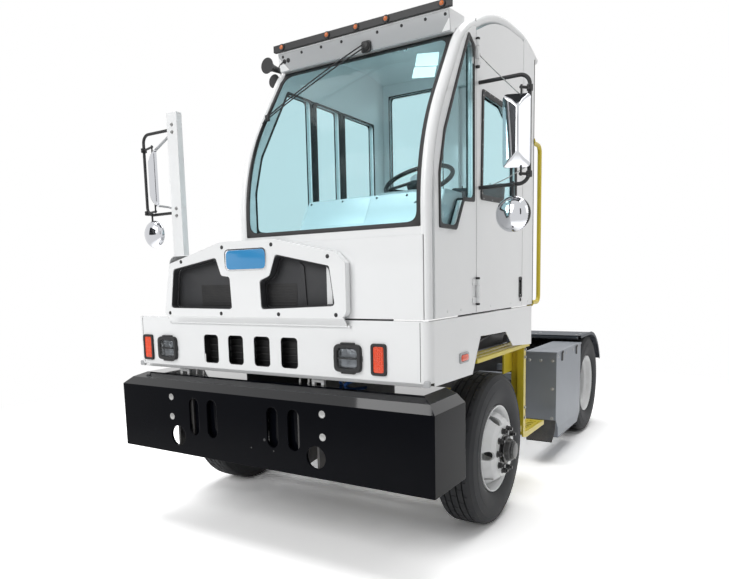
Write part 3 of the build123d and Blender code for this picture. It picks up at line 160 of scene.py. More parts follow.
YELLOW = Finish("safety_yellow", "step_yellow", (0.68, 0.54, 0.03), 0.42, Detail.CAST, 0.1, 200, 0.1, coat=0.25,
                dust=0.12, edge_radius=0.002)
ALUMINIUM = Finish("sheet_aluminium", "box_metal", (0.225, 0.245, 0.275), 0.42, Detail.BRUSHED, 0.05, 60, 0.08,
                   metallic=0.45, dust=0.08, edge_radius=0.002)
CHEQUER = Finish("dark_sheet", "frame_paint", (0.05, 0.051, 0.054), 0.5, Detail.CAST, 0.1, 120, 0.25, metallic=0.3,
                 dust=0.3)
TANK = Finish("tank_aluminium", "tank_metal", (0.5, 0.51, 0.53), 0.3, Detail.BRUSHED, 0.04, 50, 0.06, metallic=1,
              dust=0.06)
FENDER = Finish("fender_plastic", "fender_plastic", (0.052, 0.06, 0.076), 0.55, Detail.MOULDED, 0.2, 260, 0.2,
                dust=0.3, edge_radius=0.003)
CHROME = Finish("chrome_plate", "mirror_metal", (0.62, 0.63, 0.66), 0.06, Detail.SMOOTH, mottle=0.02, metallic=1)
MIRROR = Finish("mirror_glass", "mirror_metal", (0.88, 0.9, 0.91), 0.02, Detail.SMOOTH, mottle=0, metallic=1)
ZINC = Finish("zinc_plated", "rod_chrome", (0.36, 0.36, 0.355), 0.35, Detail.CAST, 0.1, 300, 0.1, metallic=1)
GREASED = Finish("greased_steel", "plate_steel", (0.07, 0.068, 0.064), 0.4, Detail.CAST, 0.4, 60, 0.35, metallic=0.8,
                 dust=0.1, edge_radius=0.004)
BOOM = Finish("boom_black", "boom_paint", (0.014, 0.014, 0.015), 0.42, Detail.CAST, 0.15, 140, 0.25, coat=0.15,
              dust=0.2, edge_radius=0.004)
DASH = Finish("grey_dash", "dash_plastic", (0.36, 0.37, 0.38), 0.55, Detail.MOULDED, 0.15, 500, 0.06)
DASH_PANEL = Finish("dash_panel", "dash_plastic", (0.55, 0.565, 0.58), 0.36, Detail.BRUSHED, 0.03, 80, 0.05,
                    metallic=0.35)
SEAT_CLOTH = Finish("seat_cloth", "seat_cloth", (0.03, 0.031, 0.035), 0.85, Detail.WOVEN, 0.5, 1, 0.2, sheen=0.3)
BELT = Finish("belt_webbing", "seat_cloth", (0.02, 0.02, 0.021), 0.7, Detail.WOVEN, 0.4, 1.5, 0.1)
CAB_GLASS = Finish("tinted_glass", "clear_glass", (0.692, 0.852, 0.878), 0, Detail.SMOOTH, mottle=0,
                   transmission=1, ior=1.1)
LAMP_BOWL = Finish("smoked_bowl", "lamp_lens", (0.16, 0.165, 0.175), 0.22, Detail.SMOOTH, mottle=0.15, metallic=1)
CLEAR_LENS = Finish("clear_lens", "lamp_lens", (0.93, 0.95, 0.96), 0.04, Detail.SMOOTH, mottle=0, transmission=1,
                    ior=1.2)
REFLECTOR = Finish("reflector", "lamp_lens", (0.85, 0.86, 0.87), 0.12, Detail.SMOOTH, mottle=0.02, metallic=1)
AMBER = Finish("amber_lens", "amber_lamps", (0.78, 0.075, 0.018), 0.25, Detail.SMOOTH, mottle=0.25, coat=0.4,
               emission=0.03)
ORANGE = Finish("marker_amber", "amber_lamps", (0.55, 0.13, 0.02), 0.2, Detail.SMOOTH, mottle=0.05, coat=0.4)
RED = Finish("red_lens", "amber_lamps", (0.55, 0.012, 0.01), 0.2, Detail.SMOOTH, mottle=0.05, coat=0.6,
             emission=0.1)
BLUE_HOSE = Finish("blue_hose", "black_trim", (0.02, 0.1, 0.35), 0.4, Detail.RUBBER, 0.1, 300, 0.1)
# Grey finish for trim; on the brow panel this grey is painted shade over the white cab paint.
GREY_AND_BROW_SHADE = Finish("grey_and_brow_shade", "cab_paint", (0.42, 0.43, 0.44), 0.4, Detail.ORANGE_PEEL, 0.02, 400, 0.05, coat=0.3,
              edge_radius=0.003)
PAPER = Finish("blank_paper", "cab_paint", (0.8, 0.81, 0.8), 0.7, Detail.MOULDED, 0.03, 300, 0.03)
BADGE_BLUE = Finish("badge_blue", "cab_paint", (0.035, 0.25, 0.52), 0.25, Detail.ORANGE_PEEL, 0.01, 300, 0.05,
                    coat=0.6)

MID_GREY = (0.5, 0.5, 0.5, 1.0)
FULL_WHITE = (1.0, 1.0, 1.0, 1.0)
DUST_COLOUR = (0.3, 0.27, 0.23, 1)
DUST_ROUGHNESS = 0.9
COAT_ROUGHNESS = 0.04
THREADS_PER_METRE = 95.0
COARSE_SHARE = {Detail.ORANGE_PEEL: 0.25, Detail.CAST: 0.15, Detail.MOULDED: 0.05, Detail.RUBBER: 0.2}


# ---- materials
class Graph:
    """A node tree with short ways to add nodes and links."""

    def __init__(self, tree: NodeTree) -> None:
        """Wrap a node tree."""
        self.nodes, self.links = tree.nodes, tree.links

    def feed(self, socket: NodeSocket, value: object) -> None:
        """Link a socket into an input, or set the input's value.

        Args:
            socket: the input.
            value: a socket or a plain value.
        """
        if isinstance(value, NodeSocket):
            self.links.new(value, socket)
        else:
            socket.default_value = value

    def add(self, kind: str, inputs: dict | None = None, **settings: object) -> Node:
        """Add a node.

        Args:
            kind: its type, without the prefix.
            inputs: a socket or a value for each input, by name or number.
            settings: the node's own properties, set first.

        Returns:
            The new node.
        """
        node = self.nodes.new("ShaderNode" + kind)
        for key, value in settings.items():
            setattr(node, key, value)
        for key, value in (inputs or {}).items():
            self.feed(node.inputs[key], value)
        return node

    def math(self, operation: str, *values: object, clamp: bool = False) -> NodeSocket:
        """Result of a sum of sockets and numbers."""
        return self.add("Math", dict(enumerate(values)), operation=operation, use_clamp=clamp).outputs[0]

    def place(self) -> NodeSocket:
        """Object coordinates."""
        return self.add("TexCoord").outputs["Object"]

    def noise(self, place: NodeSocket, **inputs: object) -> NodeSocket:
        """Noise at a place."""
        return self.add("TexNoise", {**inputs, "Vector": place}).outputs["Fac"]

    def mix(self, kind: str, share: object, first: object, second: object) -> NodeSocket:
        """Mixture of two values of one kind, RGBA or FLOAT."""
        return self.add("Mix", {"Factor": share, "A": first, "B": second}, data_type=kind).outputs["Result"]

    def blend(self, share: object, first: object, second: object) -> NodeSocket:
        """Mixture of two shaders."""
        return self.add("MixShader", {"Fac": share, 1: first, 2: second}).outputs["Shader"]


class Group(Graph):
    """A shader node group under construction."""

    def __init__(self, name: str, inputs: dict[str, object], outputs: Sequence[str]) -> None:
        """Start a group.

        Args:
            name: name of the group.
            inputs: default of each input.
            outputs: names of its outputs; the one called Colour is a colour.
        """
        self.tree = bpy.data.node_groups.new(name, "ShaderNodeTree")
        super().__init__(self.tree)
        for way, labels in (("INPUT", inputs), ("OUTPUT", outputs)):
            for label in labels:
                kind = "NodeSocketColor" if label == "Colour" else "NodeSocketFloat"
                socket = self.tree.interface.new_socket(label, in_out=way, socket_type=kind)
                if way == "INPUT":
                    socket.default_value = inputs[label]
        self.given = self.nodes.new("NodeGroupInput").outputs
        self.out = self.nodes.new("NodeGroupOutput").inputs

    def give(self, **results: NodeSocket) -> ShaderNodeTree:
        """Link the results to the outputs and hand over the finished tree."""
        for label, socket in results.items():
            self.feed(self.out[label], socket)
        return self.tree


def mottle_group() -> ShaderNodeTree:
    """Slow patches of lighter and darker colour and of roughness."""
    group = Group("mottle", {"Colour": MID_GREY, "Amount": 0.1, "Scale": 3, "Roughness": 0.4}, ("Colour", "Roughness"))
    noise = group.noise(group.place(), Detail=6, Roughness=0.6, Scale=group.given["Scale"])
    swing = group.math("MULTIPLY", group.math("SUBTRACT", noise, 0.5), group.given["Amount"])
    lift = group.math("MULTIPLY_ADD", swing, 2, 1)
    tint = group.add("VectorMath", {0: group.given["Colour"], "Scale": lift}, operation="SCALE")
    rough = group.math("MULTIPLY_ADD", swing, 0.5, group.given["Roughness"], clamp=True)
    return group.give(Colour=tint.outputs[0], Roughness=rough)


def dust_group() -> ShaderNodeTree:
    """Road dust in patches that fade out with height."""
    group = Group("dust", {"Colour": MID_GREY, "Amount": 0.1, "Top": 1.2, "Roughness": 0.4}, ("Colour", "Roughness"))
    place = group.place()
    z = group.add("SeparateXYZ", {0: place}).outputs["Z"]
    height = group.add("MapRange", {"Value": z, "From Min": 0, "From Max": group.given["Top"], "To Min": 1,
                                    "To Max": 0.12})
    noise = group.noise(place, Scale=9, Detail=8, Roughness=0.7)
    patch = group.add("MapRange", {"Value": noise, "From Min": 0.38, "From Max": 0.68})
    both = group.math("MULTIPLY", height.outputs[0], patch.outputs[0])
    mask = group.math("MULTIPLY", both, group.given["Amount"], clamp=True)
    return group.give(Colour=group.mix("RGBA", mask, group.given["Colour"], DUST_COLOUR),
                      Roughness=group.mix("FLOAT", mask, group.given["Roughness"], DUST_ROUGHNESS))


def grain_group() -> ShaderNodeTree:
    """Fine even noise for a bump."""
    group = Group("grain", {"Scale": 400, "Coarse": 0.3}, ("Height",))
    place = group.place()
    fine = group.noise(place, Detail=3, Scale=group.given["Scale"])
    coarse = group.noise(place, Scale=14, Detail=2)
    return group.give(Height=group.mix("FLOAT", group.given["Coarse"], fine, coarse))


def brushed_group() -> ShaderNodeTree:
    """Long fine scratches along Z for rolled and brushed sheet."""
    group = Group("brushed", {"Scale": 60}, ("Height",))
    stretch = group.add("Mapping", {"Scale": (8, 8, 0.35), "Vector": group.place()})
    return group.give(Height=group.noise(stretch.outputs["Vector"], Detail=4, Scale=group.given["Scale"]))


def weave_group() -> ShaderNodeTree:
    """Over and under threads of a woven cloth."""
    group = Group("weave", {"Scale": 1}, ("Height",))
    place, waves = group.place(), []
    for direction in ("X", "Z"):
        scale = group.math("MULTIPLY", group.given["Scale"], THREADS_PER_METRE)
        wave = group.add("TexWave", {"Distortion": 0.6, "Scale": scale, "Vector": place}, bands_direction=direction)
        waves.append(wave.outputs["Fac"])
    return group.give(Height=group.math("MAXIMUM", *waves))


class MaterialShop:
    """Makes each finish's material once, from the shared groups."""

    def __init__(self) -> None:
        """Build the shared groups and start with no materials."""
        self.mottle, self.dust = mottle_group(), dust_group()
        self.detail = {Detail.WOVEN: weave_group(), Detail.BRUSHED: brushed_group()}
        self.grain = grain_group()
        self.made: dict[str, Material] = {}

    def get(self, finish: Finish) -> Material:
        """The material of a finish, made at the first call.

        Args:
            finish: the finish.

        Returns:
            Its material.
        """
        if finish.name not in self.made:
            self.made[finish.name] = self._build(finish)
        return self.made[finish.name]

    def _height(self, graph: Graph, finish: Finish) -> NodeSocket | None:
        """Make the height of the finish's fine detail.

        Args:
            graph: the material's graph.
            finish: the finish.

        Returns:
            The height, or None where the finish is smooth.
        """
        if finish.detail is Detail.SMOOTH:
            return None
        tree = self.detail.get(finish.detail, self.grain)
        inputs = {"Scale": finish.scale}
        if finish.detail in COARSE_SHARE:
            inputs["Coarse"] = COARSE_SHARE[finish.detail]
        return graph.add("Group", inputs, node_tree=tree).outputs["Height"]

    def _colours(self, graph: Graph, shader: Node, finish: Finish) -> None:
        """Link mottled and dusty colour and roughness into the shader.

        Args:
            graph: the material's graph.
            shader: its shader node.
            finish: the finish.
        """
        if not finish.mottle:
            return
        node = graph.add("Group", {"Colour": (*finish.colour, 1), "Amount": finish.mottle, "Scale": 5,
                                   "Roughness": finish.roughness}, node_tree=self.mottle)
        if finish.dust:
            node = graph.add("Group", {"Colour": node.outputs["Colour"], "Roughness": node.outputs["Roughness"],
                                       "Amount": finish.dust, "Top": finish.dust_top}, node_tree=self.dust)
        graph.feed(shader.inputs["Base Color"], node.outputs["Colour"])
        graph.feed(shader.inputs["Roughness"], node.outputs["Roughness"])

    def _normal(self, graph: Graph, shader: Node, finish: Finish) -> None:
        """Link rounded edges and fine bumps into the shader.

        Args:
            graph: the material's graph.
            shader: its shader node.
            finish: the finish.
        """
        height, normal = self._height(graph, finish), None
        if finish.edge_radius:
            normal = graph.add("Bevel", {"Radius": finish.edge_radius}, samples=4).outputs["Normal"]
        if height is not None and finish.depth:
            bump = graph.add("Bump", {"Strength": min(1, finish.depth * 2), "Height": height,
                                      "Distance": 0.001 if finish.detail is Detail.WOVEN else 0.0006})
            if normal is not None:
                graph.feed(bump.inputs["Normal"], normal)
            normal = bump.outputs["Normal"]
        if normal is not None:
            graph.feed(shader.inputs["Normal"], normal)

    def _build(self, finish: Finish) -> Material:
        """Build one material.

        Args:
            finish: the finish to build.

        Returns:
            The new material.
        """
        material = bpy.data.materials.new(finish.name)
        material.use_nodes = True
        colour = (*finish.colour, 1)
        material.diffuse_color = colour
        graph = Graph(material.node_tree)
        shader = graph.nodes["Principled BSDF"]
        for label, value in {"Base Color": colour, "Roughness": finish.roughness, "Metallic": finish.metallic,
                             "Coat Weight": finish.coat, "Coat Roughness": COAT_ROUGHNESS,
                             "Transmission Weight": finish.transmission, "IOR": finish.ior,
                             "Sheen Weight": finish.sheen}.items():
            graph.feed(shader.inputs[label], value)
        if finish.emission:
            graph.feed(shader.inputs["Emission Color"], colour)
            graph.feed(shader.inputs["Emission Strength"], finish.emission)
        if finish.transmission:
            self._let_light_through(graph, shader, colour)
            return material
        self._colours(graph, shader, finish)
        if finish.coat_above:
            normal = graph.add("NewGeometry").outputs["Normal"]
            upward = graph.add("MapRange", {"From Min": 0.25, "From Max": 0.55, "To Max": finish.coat_above,
                                            "Value": graph.add("SeparateXYZ", {0: normal}).outputs["Z"]})
            graph.feed(shader.inputs["Coat Weight"], upward.outputs["Result"])
        self._normal(graph, shader, finish)
        return material

    @staticmethod
    def _let_light_through(graph: Graph, shader: Node, colour: tuple[float, ...]) -> None:
        """Let plain light through a pane, so that what lies behind it is lit.

        Args:
            graph: the material's graph.
            shader: its shader node.
            colour: colour that the light takes on.
        """
        shadow = graph.add("LightPath").outputs["Is Shadow Ray"]
        clear = graph.add("BsdfTransparent", {"Color": colour}).outputs["BSDF"]
        graph.feed(graph.nodes["Material Output"].inputs["Surface"],
                   graph.blend(shadow, shader.outputs["BSDF"], clear))


# ---- outlines
def at(x: float, s: float, z: float) -> Point:
    """Point in metres from X, distance behind the bumper's face and height, all in millimetres."""
    return (x * MM, station(s), z * MM)


def rounded(outline: Sequence[Flat], radius: float, steps: int = 5, runs: int = 1) -> list[Flat]:
    """Closed outline with rounded corners.

    Args:
        outline: its corners.
        radius: how far from each corner the rounding starts.
        steps: points round each corner.
        runs: pieces that each straight side is divided into.

    Returns:
        The points of the rounded outline.
    """
    points: list[Flat] = []
    corners = [Vector(p) for p in outline]
    for i, corner in enumerate(corners):
        back, ahead = corners[i - 1] - corner, corners[(i + 1) % len(corners)] - corner
        near = corner + back.normalized() * min(radius, back.length * 0.45)
        far = corner + ahead.normalized() * min(radius, ahead.length * 0.45)
        for k in range(steps + 1):
            t = k / steps
            p = near * (1 - t) ** 2 + corner * 2 * t * (1 - t) + far * t ** 2
            points.append((p.x, p.y))
        after = corners[(i + 1) % len(corners)]
        goal = after - ahead.normalized() * min(radius, ahead.length * 0.45)
        for k in range(1, runs):
            p = far.lerp(goal, k / runs)
            points.append((p.x, p.y))
    return points


def grown(outline: Sequence[Flat], distance: float) -> list[Flat]:
    """Closed outline with every side moved outwards.

    Args:
        outline: its corners.
        distance: how far the sides move; inwards if it is negative.

    Returns:
        The corners of the new outline.
    """
    corners = [Vector(p) for p in outline]
    area = sum(a.x * b.y - b.x * a.y for a, b in zip(corners, corners[1:] + corners[:1]))
    sign = 1 if area > 0 else -1
    points: list[Flat] = []
    for i, corner in enumerate(corners):
        back, ahead = (corner - corners[i - 1]).normalized(), (corners[(i + 1) % len(corners)] - corner).normalized()
        near, far = Vector((back.y, -back.x)), Vector((ahead.y, -ahead.x))
        bend = near + far
        bend = bend / max(0.2, 1 + near.dot(far))
        p = corner + bend * distance * sign
        points.append((p.x, p.y))
    return points


def polar(radius: float, degrees: float) -> Flat:
    """Point at this radius and angle."""
    return radius * math.cos(math.radians(degrees)), radius * math.sin(math.radians(degrees))


def rectangle(x: float, z: float, width: float, height: float) -> list[Flat]:
    """Corners of a rectangle about a middle."""
    return [(x - width / 2, z - height / 2), (x + width / 2, z - height / 2), (x + width / 2, z + height / 2),
            (x - width / 2, z + height / 2)]


def facing_front(s: float) -> Place:
    """Places (x, z) on a face that looks forward, heights standing out of it."""
    return lambda u, v, h: at(u, s - h, v)


def facing_side(x: float, sign: float = 1.0) -> Place:
    """Places (station, z) on a face that looks to the left, or to the right if sign is -1."""
    return lambda u, v, h: at(x + sign * h, u, v)


def facing_rear(s: float) -> Place:
    """Places (x, z) on a face that looks to the rear."""
    return lambda u, v, h: at(u, s + h, v)


def facing_up(z: float) -> Place:
    """Places (x, station) on a face that looks up."""
    return lambda u, v, h: at(u, v, z + h)


@dataclass(frozen=True)
class CabLine:
    """Side outline of the cab: the pillar tube's centre line as (station, height) corners and their radii."""

    corners: tuple[Flat, ...] = ((138, 1490), (138, 2395), (575, 3060), (1100, 3315), (1690, 3350), (1975, 3272))
    radii: tuple[float, ...] = (1100, 420, 1300, 1000)
    glass_shift: float = -14.0

    def points(self, steps: int = 14) -> list[Flat]:
        """Points along the line.

        Args:
            steps: points in each rounded corner.

        Returns:
            The (station, height) points.
        """
        line: list[Flat] = [self.corners[0]]
        for i, radius in enumerate(self.radii, 1):
            a, b, c = (Vector(p) for p in self.corners[i - 1:i + 2])
            u, w = (b - a).normalized(), (c - b).normalized()
            turn = math.acos(max(-1, min(1, u.dot(w))))
            start = b - u * radius * math.tan(turn / 2)
            side = 1 if u.x * w.y - u.y * w.x > 0 else -1
            centre = start + Vector((-u.y, u.x)) * side * radius
            spoke = start - centre
            for k in range(steps + 1):
                angle = side * turn * k / steps
                p = centre + Vector((spoke.x * math.cos(angle) - spoke.y * math.sin(angle),
                                     spoke.x * math.sin(angle) + spoke.y * math.cos(angle)))
                line.append((p.x, p.y))
        line.append(self.corners[-1])
        return line

    def screen(self, x: float, z: float, out: float = 0.0) -> Point:
        """Point on the windshield's outer face.

        Args:
            x: X in millimetres.
            z: height in millimetres.
            out: how far it stands out of the glass.

        Returns:
            The point in metres.
        """
        line = [p for p in self.points() if p[1] < 3200]
        heights, stations = [p[1] for p in line], [p[0] for p in line]
        s = float(np.interp(z, heights, stations))
        slope = (float(np.interp(z + 4, heights, stations)) - float(np.interp(z - 4, heights, stations))) / 8
        length = math.hypot(1, slope)
        return at(x, s + self.glass_shift - out / length, z + out * slope / length)


# ---- modelling
def stand(part: BMesh, spot: Point, axis: Point) -> None:
    """Turn a bmesh's Z axis along an axis and carry its origin to a spot.

    Args:
        part: the bmesh.
        spot: where its origin goes.
        axis: where its Z axis points.
    """
    turn = Vector(axis).to_track_quat("Z", "Y").to_matrix().to_4x4()
    bmesh.ops.transform(part, matrix=Matrix.Translation(Vector(spot)) @ turn, verts=part.verts)


class Shape:
    """A mesh under construction, made with bmesh operators and joined from simple forms."""

    shop: ClassVar[MaterialShop]

    def __init__(self) -> None:
        """Start with an empty mesh."""
        self.mesh = bmesh.new()

    def _take(self, part: BMesh) -> "Shape":
        """Join another bmesh into this one.

        Args:
            part: the bmesh, which is freed.

        Returns:
            This shape.
        """
        holder = bpy.data.meshes.new("part")
        part.to_mesh(holder)
        part.free()
        self.mesh.from_mesh(holder)
        bpy.data.meshes.remove(holder)
        return self

    @staticmethod
    def _soften(part: BMesh, edges: Sequence[BMEdge], offset: float, segments: int = 2) -> None:
        """Round some edges of a bmesh."""
        bmesh.ops.bevel(part, geom=edges, offset=offset, segments=segments, affect="EDGES", profile=0.5, material=-1)

    def box(self, low: Point, high: Point, bevel: float = 0.0) -> "Shape":
        """Add a box between two corners with rounded edges.

        Args:
            low: lowest corner.
            high: highest corner.
            bevel: edge radius.

        Returns:
            This shape.
        """
        part = bmesh.new()
        bmesh.ops.create_cube(part, size=1)
        size = Vector(high) - Vector(low)
        bmesh.ops.scale(part, vec=size, verts=part.verts)
        bmesh.ops.translate(part, vec=(Vector(high) + Vector(low)) / 2, verts=part.verts)
        if bevel:
            self._soften(part, part.edges[:], min(bevel, min(size) * 0.49))
        return self._take(part)

    def rod(self, start: Point, end: Point, radius: float, segments: int = 24, end_radius: float | None = None,
            bevel: float = 0) -> "Shape":
        """Add a round bar or cone between two points.

        Args:
            start: centre of one end.
            end: centre of the other end.
            radius: radius at the start.
            segments: sides of the bar.
            end_radius: radius at the end, if it differs.
            bevel: rounding of both rims.

        Returns:
            This shape.
        """
        part = bmesh.new()
        a, b = Vector(start), Vector(end)
        bmesh.ops.create_cone(part, cap_ends=True, segments=segments, radius1=radius,
                              radius2=radius if end_radius is None else end_radius, depth=(b - a).length)
        if bevel:
            rims = [e for e in part.edges if len(e.link_faces) == 2 and abs(e.calc_face_angle(0)) > 0.9]
            self._soften(part, rims, bevel)
        stand(part, (a + b) / 2, b - a)
        return self._take(part)

    def ball(self, centre: Point, radius: float, squash: Point = (1, 1, 1), segments: int = 20) -> "Shape":
        """Add a sphere, pressed along the axes.

        Args:
            centre: its centre.
            radius: its radius.
            squash: factors along X, Y and Z.
            segments: steps round it.

        Returns:
            This shape.
        """
        part = bmesh.new()
        bmesh.ops.create_uvsphere(part, u_segments=segments, v_segments=segments // 2, radius=radius)
        bmesh.ops.scale(part, vec=squash, verts=part.verts)
        bmesh.ops.translate(part, vec=centre, verts=part.verts)
        return self._take(part)

    @staticmethod
    def turned(profile: Sequence[Flat], steps: int = 48, closed: bool = True) -> BMesh:
        """A turned form about the Z axis.

        Args:
            profile: (along the axis, radius) points.
            steps: steps round the axis.
            closed: whether the profile's last point joins its first.

        Returns:
            The new bmesh.
        """
        part = bmesh.new()
        verts = [part.verts.new((r, 0, z)) for z, r in profile]
        edges = [part.edges.new((a, b)) for a, b in zip(verts, verts[1:])]
        if closed:
            edges.append(part.edges.new((verts[-1], verts[0])))
        bmesh.ops.spin(part, geom=verts + edges, cent=(0, 0, 0), axis=(0, 0, 1), angle=math.tau, steps=steps,
                       use_merge=True)
        bmesh.ops.remove_doubles(part, verts=part.verts, dist=1e-6)
        bmesh.ops.recalc_face_normals(part, faces=part.faces)
        return part

    def lathe(self, profile: Sequence[Flat], centre: Point, axis: Point, steps: int = 48,
              closed: bool | None = None) -> "Shape":
        """Add a turned form.

        Args:
            profile: (along the axis, radius) points.
            centre: point that the profile's zero lies on.
            axis: direction of the axis.
            steps: steps round the axis.
            closed: whether the profile's last point joins its first; not where it ends on the axis.

        Returns:
            This shape.
        """
        part = self.turned(profile, steps, profile[-1][1] > 0 if closed is None else closed)
        stand(part, centre, axis)
        return self._take(part)

    def rings(self, loops: Sequence[Sequence[Point]], closed: bool = False) -> "Shape":
        """Add a skin over several rings of points, each with as many points as the next.

        The rings are held apart while they are bridged, because rings in one plane would be joined askew.

        Args:
            loops: the rings, in order.
            closed: whether the last ring joins the first; otherwise both ends are filled.

        Returns:
            This shape.
        """
        part = bmesh.new()
        made = []
        apart = geometry.normal([Vector(p) for p in loops[0]])
        for k, loop in enumerate(loops):
            verts = [part.verts.new(Vector(p) + apart * k) for p in loop]
            made.append([part.edges.new((a, b)) for a, b in zip(verts, verts[1:] + verts[:1])])
        pairs = list(zip(made, made[1:]))
        if closed:
            pairs.append((made[-1], made[0]))
        for near, far in pairs:
            bmesh.ops.bridge_loops(part, edges=near + far)
        for vert, place in zip(part.verts, (p for loop in loops for p in loop)):
            vert.co = place
        if not closed:
            bmesh.ops.holes_fill(part, edges=made[0] + made[-1], sides=0)
        bmesh.ops.recalc_face_normals(part, faces=part.faces)
        return self._take(part)

    def trim(self, outline: Sequence[Flat], place: Place, width: tuple[float, float], height: float,
             radii: tuple[float, float] = (8, 30), runs: int = 1, low: float = 0) -> "Shape":
        """Add a rounded strip round an opening, such as a rubber gasket or a bezel.

        Args:
            outline: corners of the opening.
            place: where (u, v, height) lies, in metres.
            width: how far the strip reaches outside and inside the opening.
            height: how far it stands out.
            radii: corner rounding of its outer and its inner edge.
            runs: pieces that each straight side is divided into.
            low: height of its foot.

        Returns:
            This shape.
        """
        outer = rounded(grown(outline, width[0]), radii[0], runs=runs)
        inner = rounded(grown(outline, -width[1]), radii[1], runs=runs)
        section = ((0, 0), (0, 0.55), (0.1, 1), (0.72, 1), (0.95, 0.6), (1, 0))
        loops = []
        for share, rise in section:
            loops.append([place(a[0] + (b[0] - a[0]) * share, a[1] + (b[1] - a[1]) * share,
                                low + (height - low) * rise) for a, b in zip(outer, inner)])
        return self.rings(loops, closed=True)

    def slab(self, outline: Sequence[Flat], place: Place, low: float, high: float, radius: float = 6.0,
             edge: float = 1.5, runs: int = 1) -> "Shape":
        """Add a flat plate with rounded corners and a softened upper edge.

        Args:
            outline: its corners.
            place: where (u, v, height) lies, in metres.
            low: height of its underside.
            high: height of its top.
            radius: corner rounding.
            edge: softening of its upper edge.
            runs: pieces that each straight side is divided into.

        Returns:
            This shape.
        """
        loops = []
        for inset, rise in ((0, low), (0, high - edge), (edge * 0.3, high - edge * 0.3), (edge, high)):
            ring = rounded(grown(outline, -inset), radius, runs=runs)
            loops.append([place(u, v, rise) for u, v in ring])
        return self.rings(loops)

    def moved(self, matrix: Matrix) -> "Shape":
        """Carry the whole shape by a matrix."""
        bmesh.ops.transform(self.mesh, matrix=matrix, verts=self.mesh.verts)
        return self

    def dome(self, centre: Point, axis: Point, radius: float, height: float, washer: float = 0.0) -> "Shape":
        """Add a domed screw head, with a washer under it if one is wanted.

        Args:
            centre: middle of its seat.
            axis: direction that it stands out in.
            radius: radius of the head.
            height: height of the dome.
            washer: radius of the washer, or 0.

        Returns:
            This shape.
        """
        profile = [(0, 0), (0, radius), (height * 0.45, radius * 0.96), (height * 0.8, radius * 0.72),
                   (height * 0.97, radius * 0.34), (height, 0)]
        self.lathe(profile, centre, axis, 16)
        if washer:
            self.lathe([(0, radius * 0.9), (0, washer), (height * 0.18, washer), (height * 0.22, radius * 0.9)],
                       centre, axis, 20)
        return self

    def nut(self, centre: Point, axis: Point, across: float, height: float, washer: float = 0.0) -> "Shape":
        """Add a hexagon nut or bolt head with its washer.

        Args:
            centre: middle of its seat.
            axis: direction that it stands out in.
            across: width across its flats.
            height: height of the hexagon.
            washer: radius of a washer under it, or 0.

        Returns:
            This shape.
        """
        a, d = Vector(centre), Vector(axis).normalized()
        if washer:
            self.rod(a, a + d * height * 0.18, washer, 24)
            a = a + d * height * 0.18
        part = bmesh.new()
        bmesh.ops.create_cone(part, cap_ends=True, segments=6, radius1=across / math.sqrt(3),
                              radius2=across / math.sqrt(3), depth=height)
        tops = [e for e in part.edges if all(v.co.z > 0 for v in e.verts)]
        self._soften(part, tops, height * 0.12, 1)
        stand(part, a + d * height / 2, d)
        return self._take(part)

    def pipe(self, points: Sequence[Point], radius: float, smooth: bool = False, closed: bool = False,
             sides: int = 12) -> "Shape":
        """Add a round tube along a path.

        Args:
            points: the path.
            radius: the tube's radius.
            smooth: whether the path is a smooth spline rather than straight runs.
            closed: whether it joins up.
            sides: sides of the tube.

        Returns:
            This shape.
        """
        curve = bpy.data.curves.new("path", "CURVE")
        curve.dimensions = "3D"
        curve.bevel_depth = radius
        curve.bevel_resolution = max(1, sides // 4 - 1)
        curve.use_fill_caps = True
        spline = curve.splines.new("NURBS" if smooth else "POLY")
        spline.points.add(len(points) - 1)
        for knot, p in zip(spline.points, points):
            knot.co = (*p, 1)
        spline.use_cyclic_u = closed
        if smooth:
            spline.order_u = 3
            spline.use_endpoint_u = not closed
            spline.resolution_u = 8
        holder = bpy.data.objects.new("path", curve)
        bpy.context.scene.collection.objects.link(holder)
        bpy.context.view_layer.update()
        mesh = bpy.data.meshes.new_from_object(holder.evaluated_get(bpy.context.evaluated_depsgraph_get()))
        self.mesh.from_mesh(mesh)
        bpy.data.objects.remove(holder)
        bpy.data.curves.remove(curve)
        bpy.data.meshes.remove(mesh)
        return self

    def finish(self, name: str, look: Finish, body: Body = Body.CHASSIS, slot: str = "", smooth_angle: float = 35.0
               ) -> Object:
        """Turn the shape into a finished piece that rides on a body.

        Args:
            name: name of the piece.
            look: its finish.
            body: body that it rides on.
            slot: a record slot other than the finish's own; not used.
            smooth_angle: edges flatter than this many degrees are shaded smooth.

        Returns:
            The new object.
        """
        data = bpy.data.meshes.new(name)
        self.mesh.to_mesh(data)
        self.mesh.free()
        for polygon in data.polygons:
            polygon.use_smooth = True
        data.set_sharp_from_angle(angle=math.radians(smooth_angle))
        piece = bpy.data.objects.new(name, data)
        bpy.context.scene.collection.objects.link(piece)
        piece.data.materials.append(self.shop.get(look))
        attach(piece, body.value)
        slot or look.slot
        LOG.info("piece %s: %d faces on %s", name, len(data.polygons), body.value)
        return piece


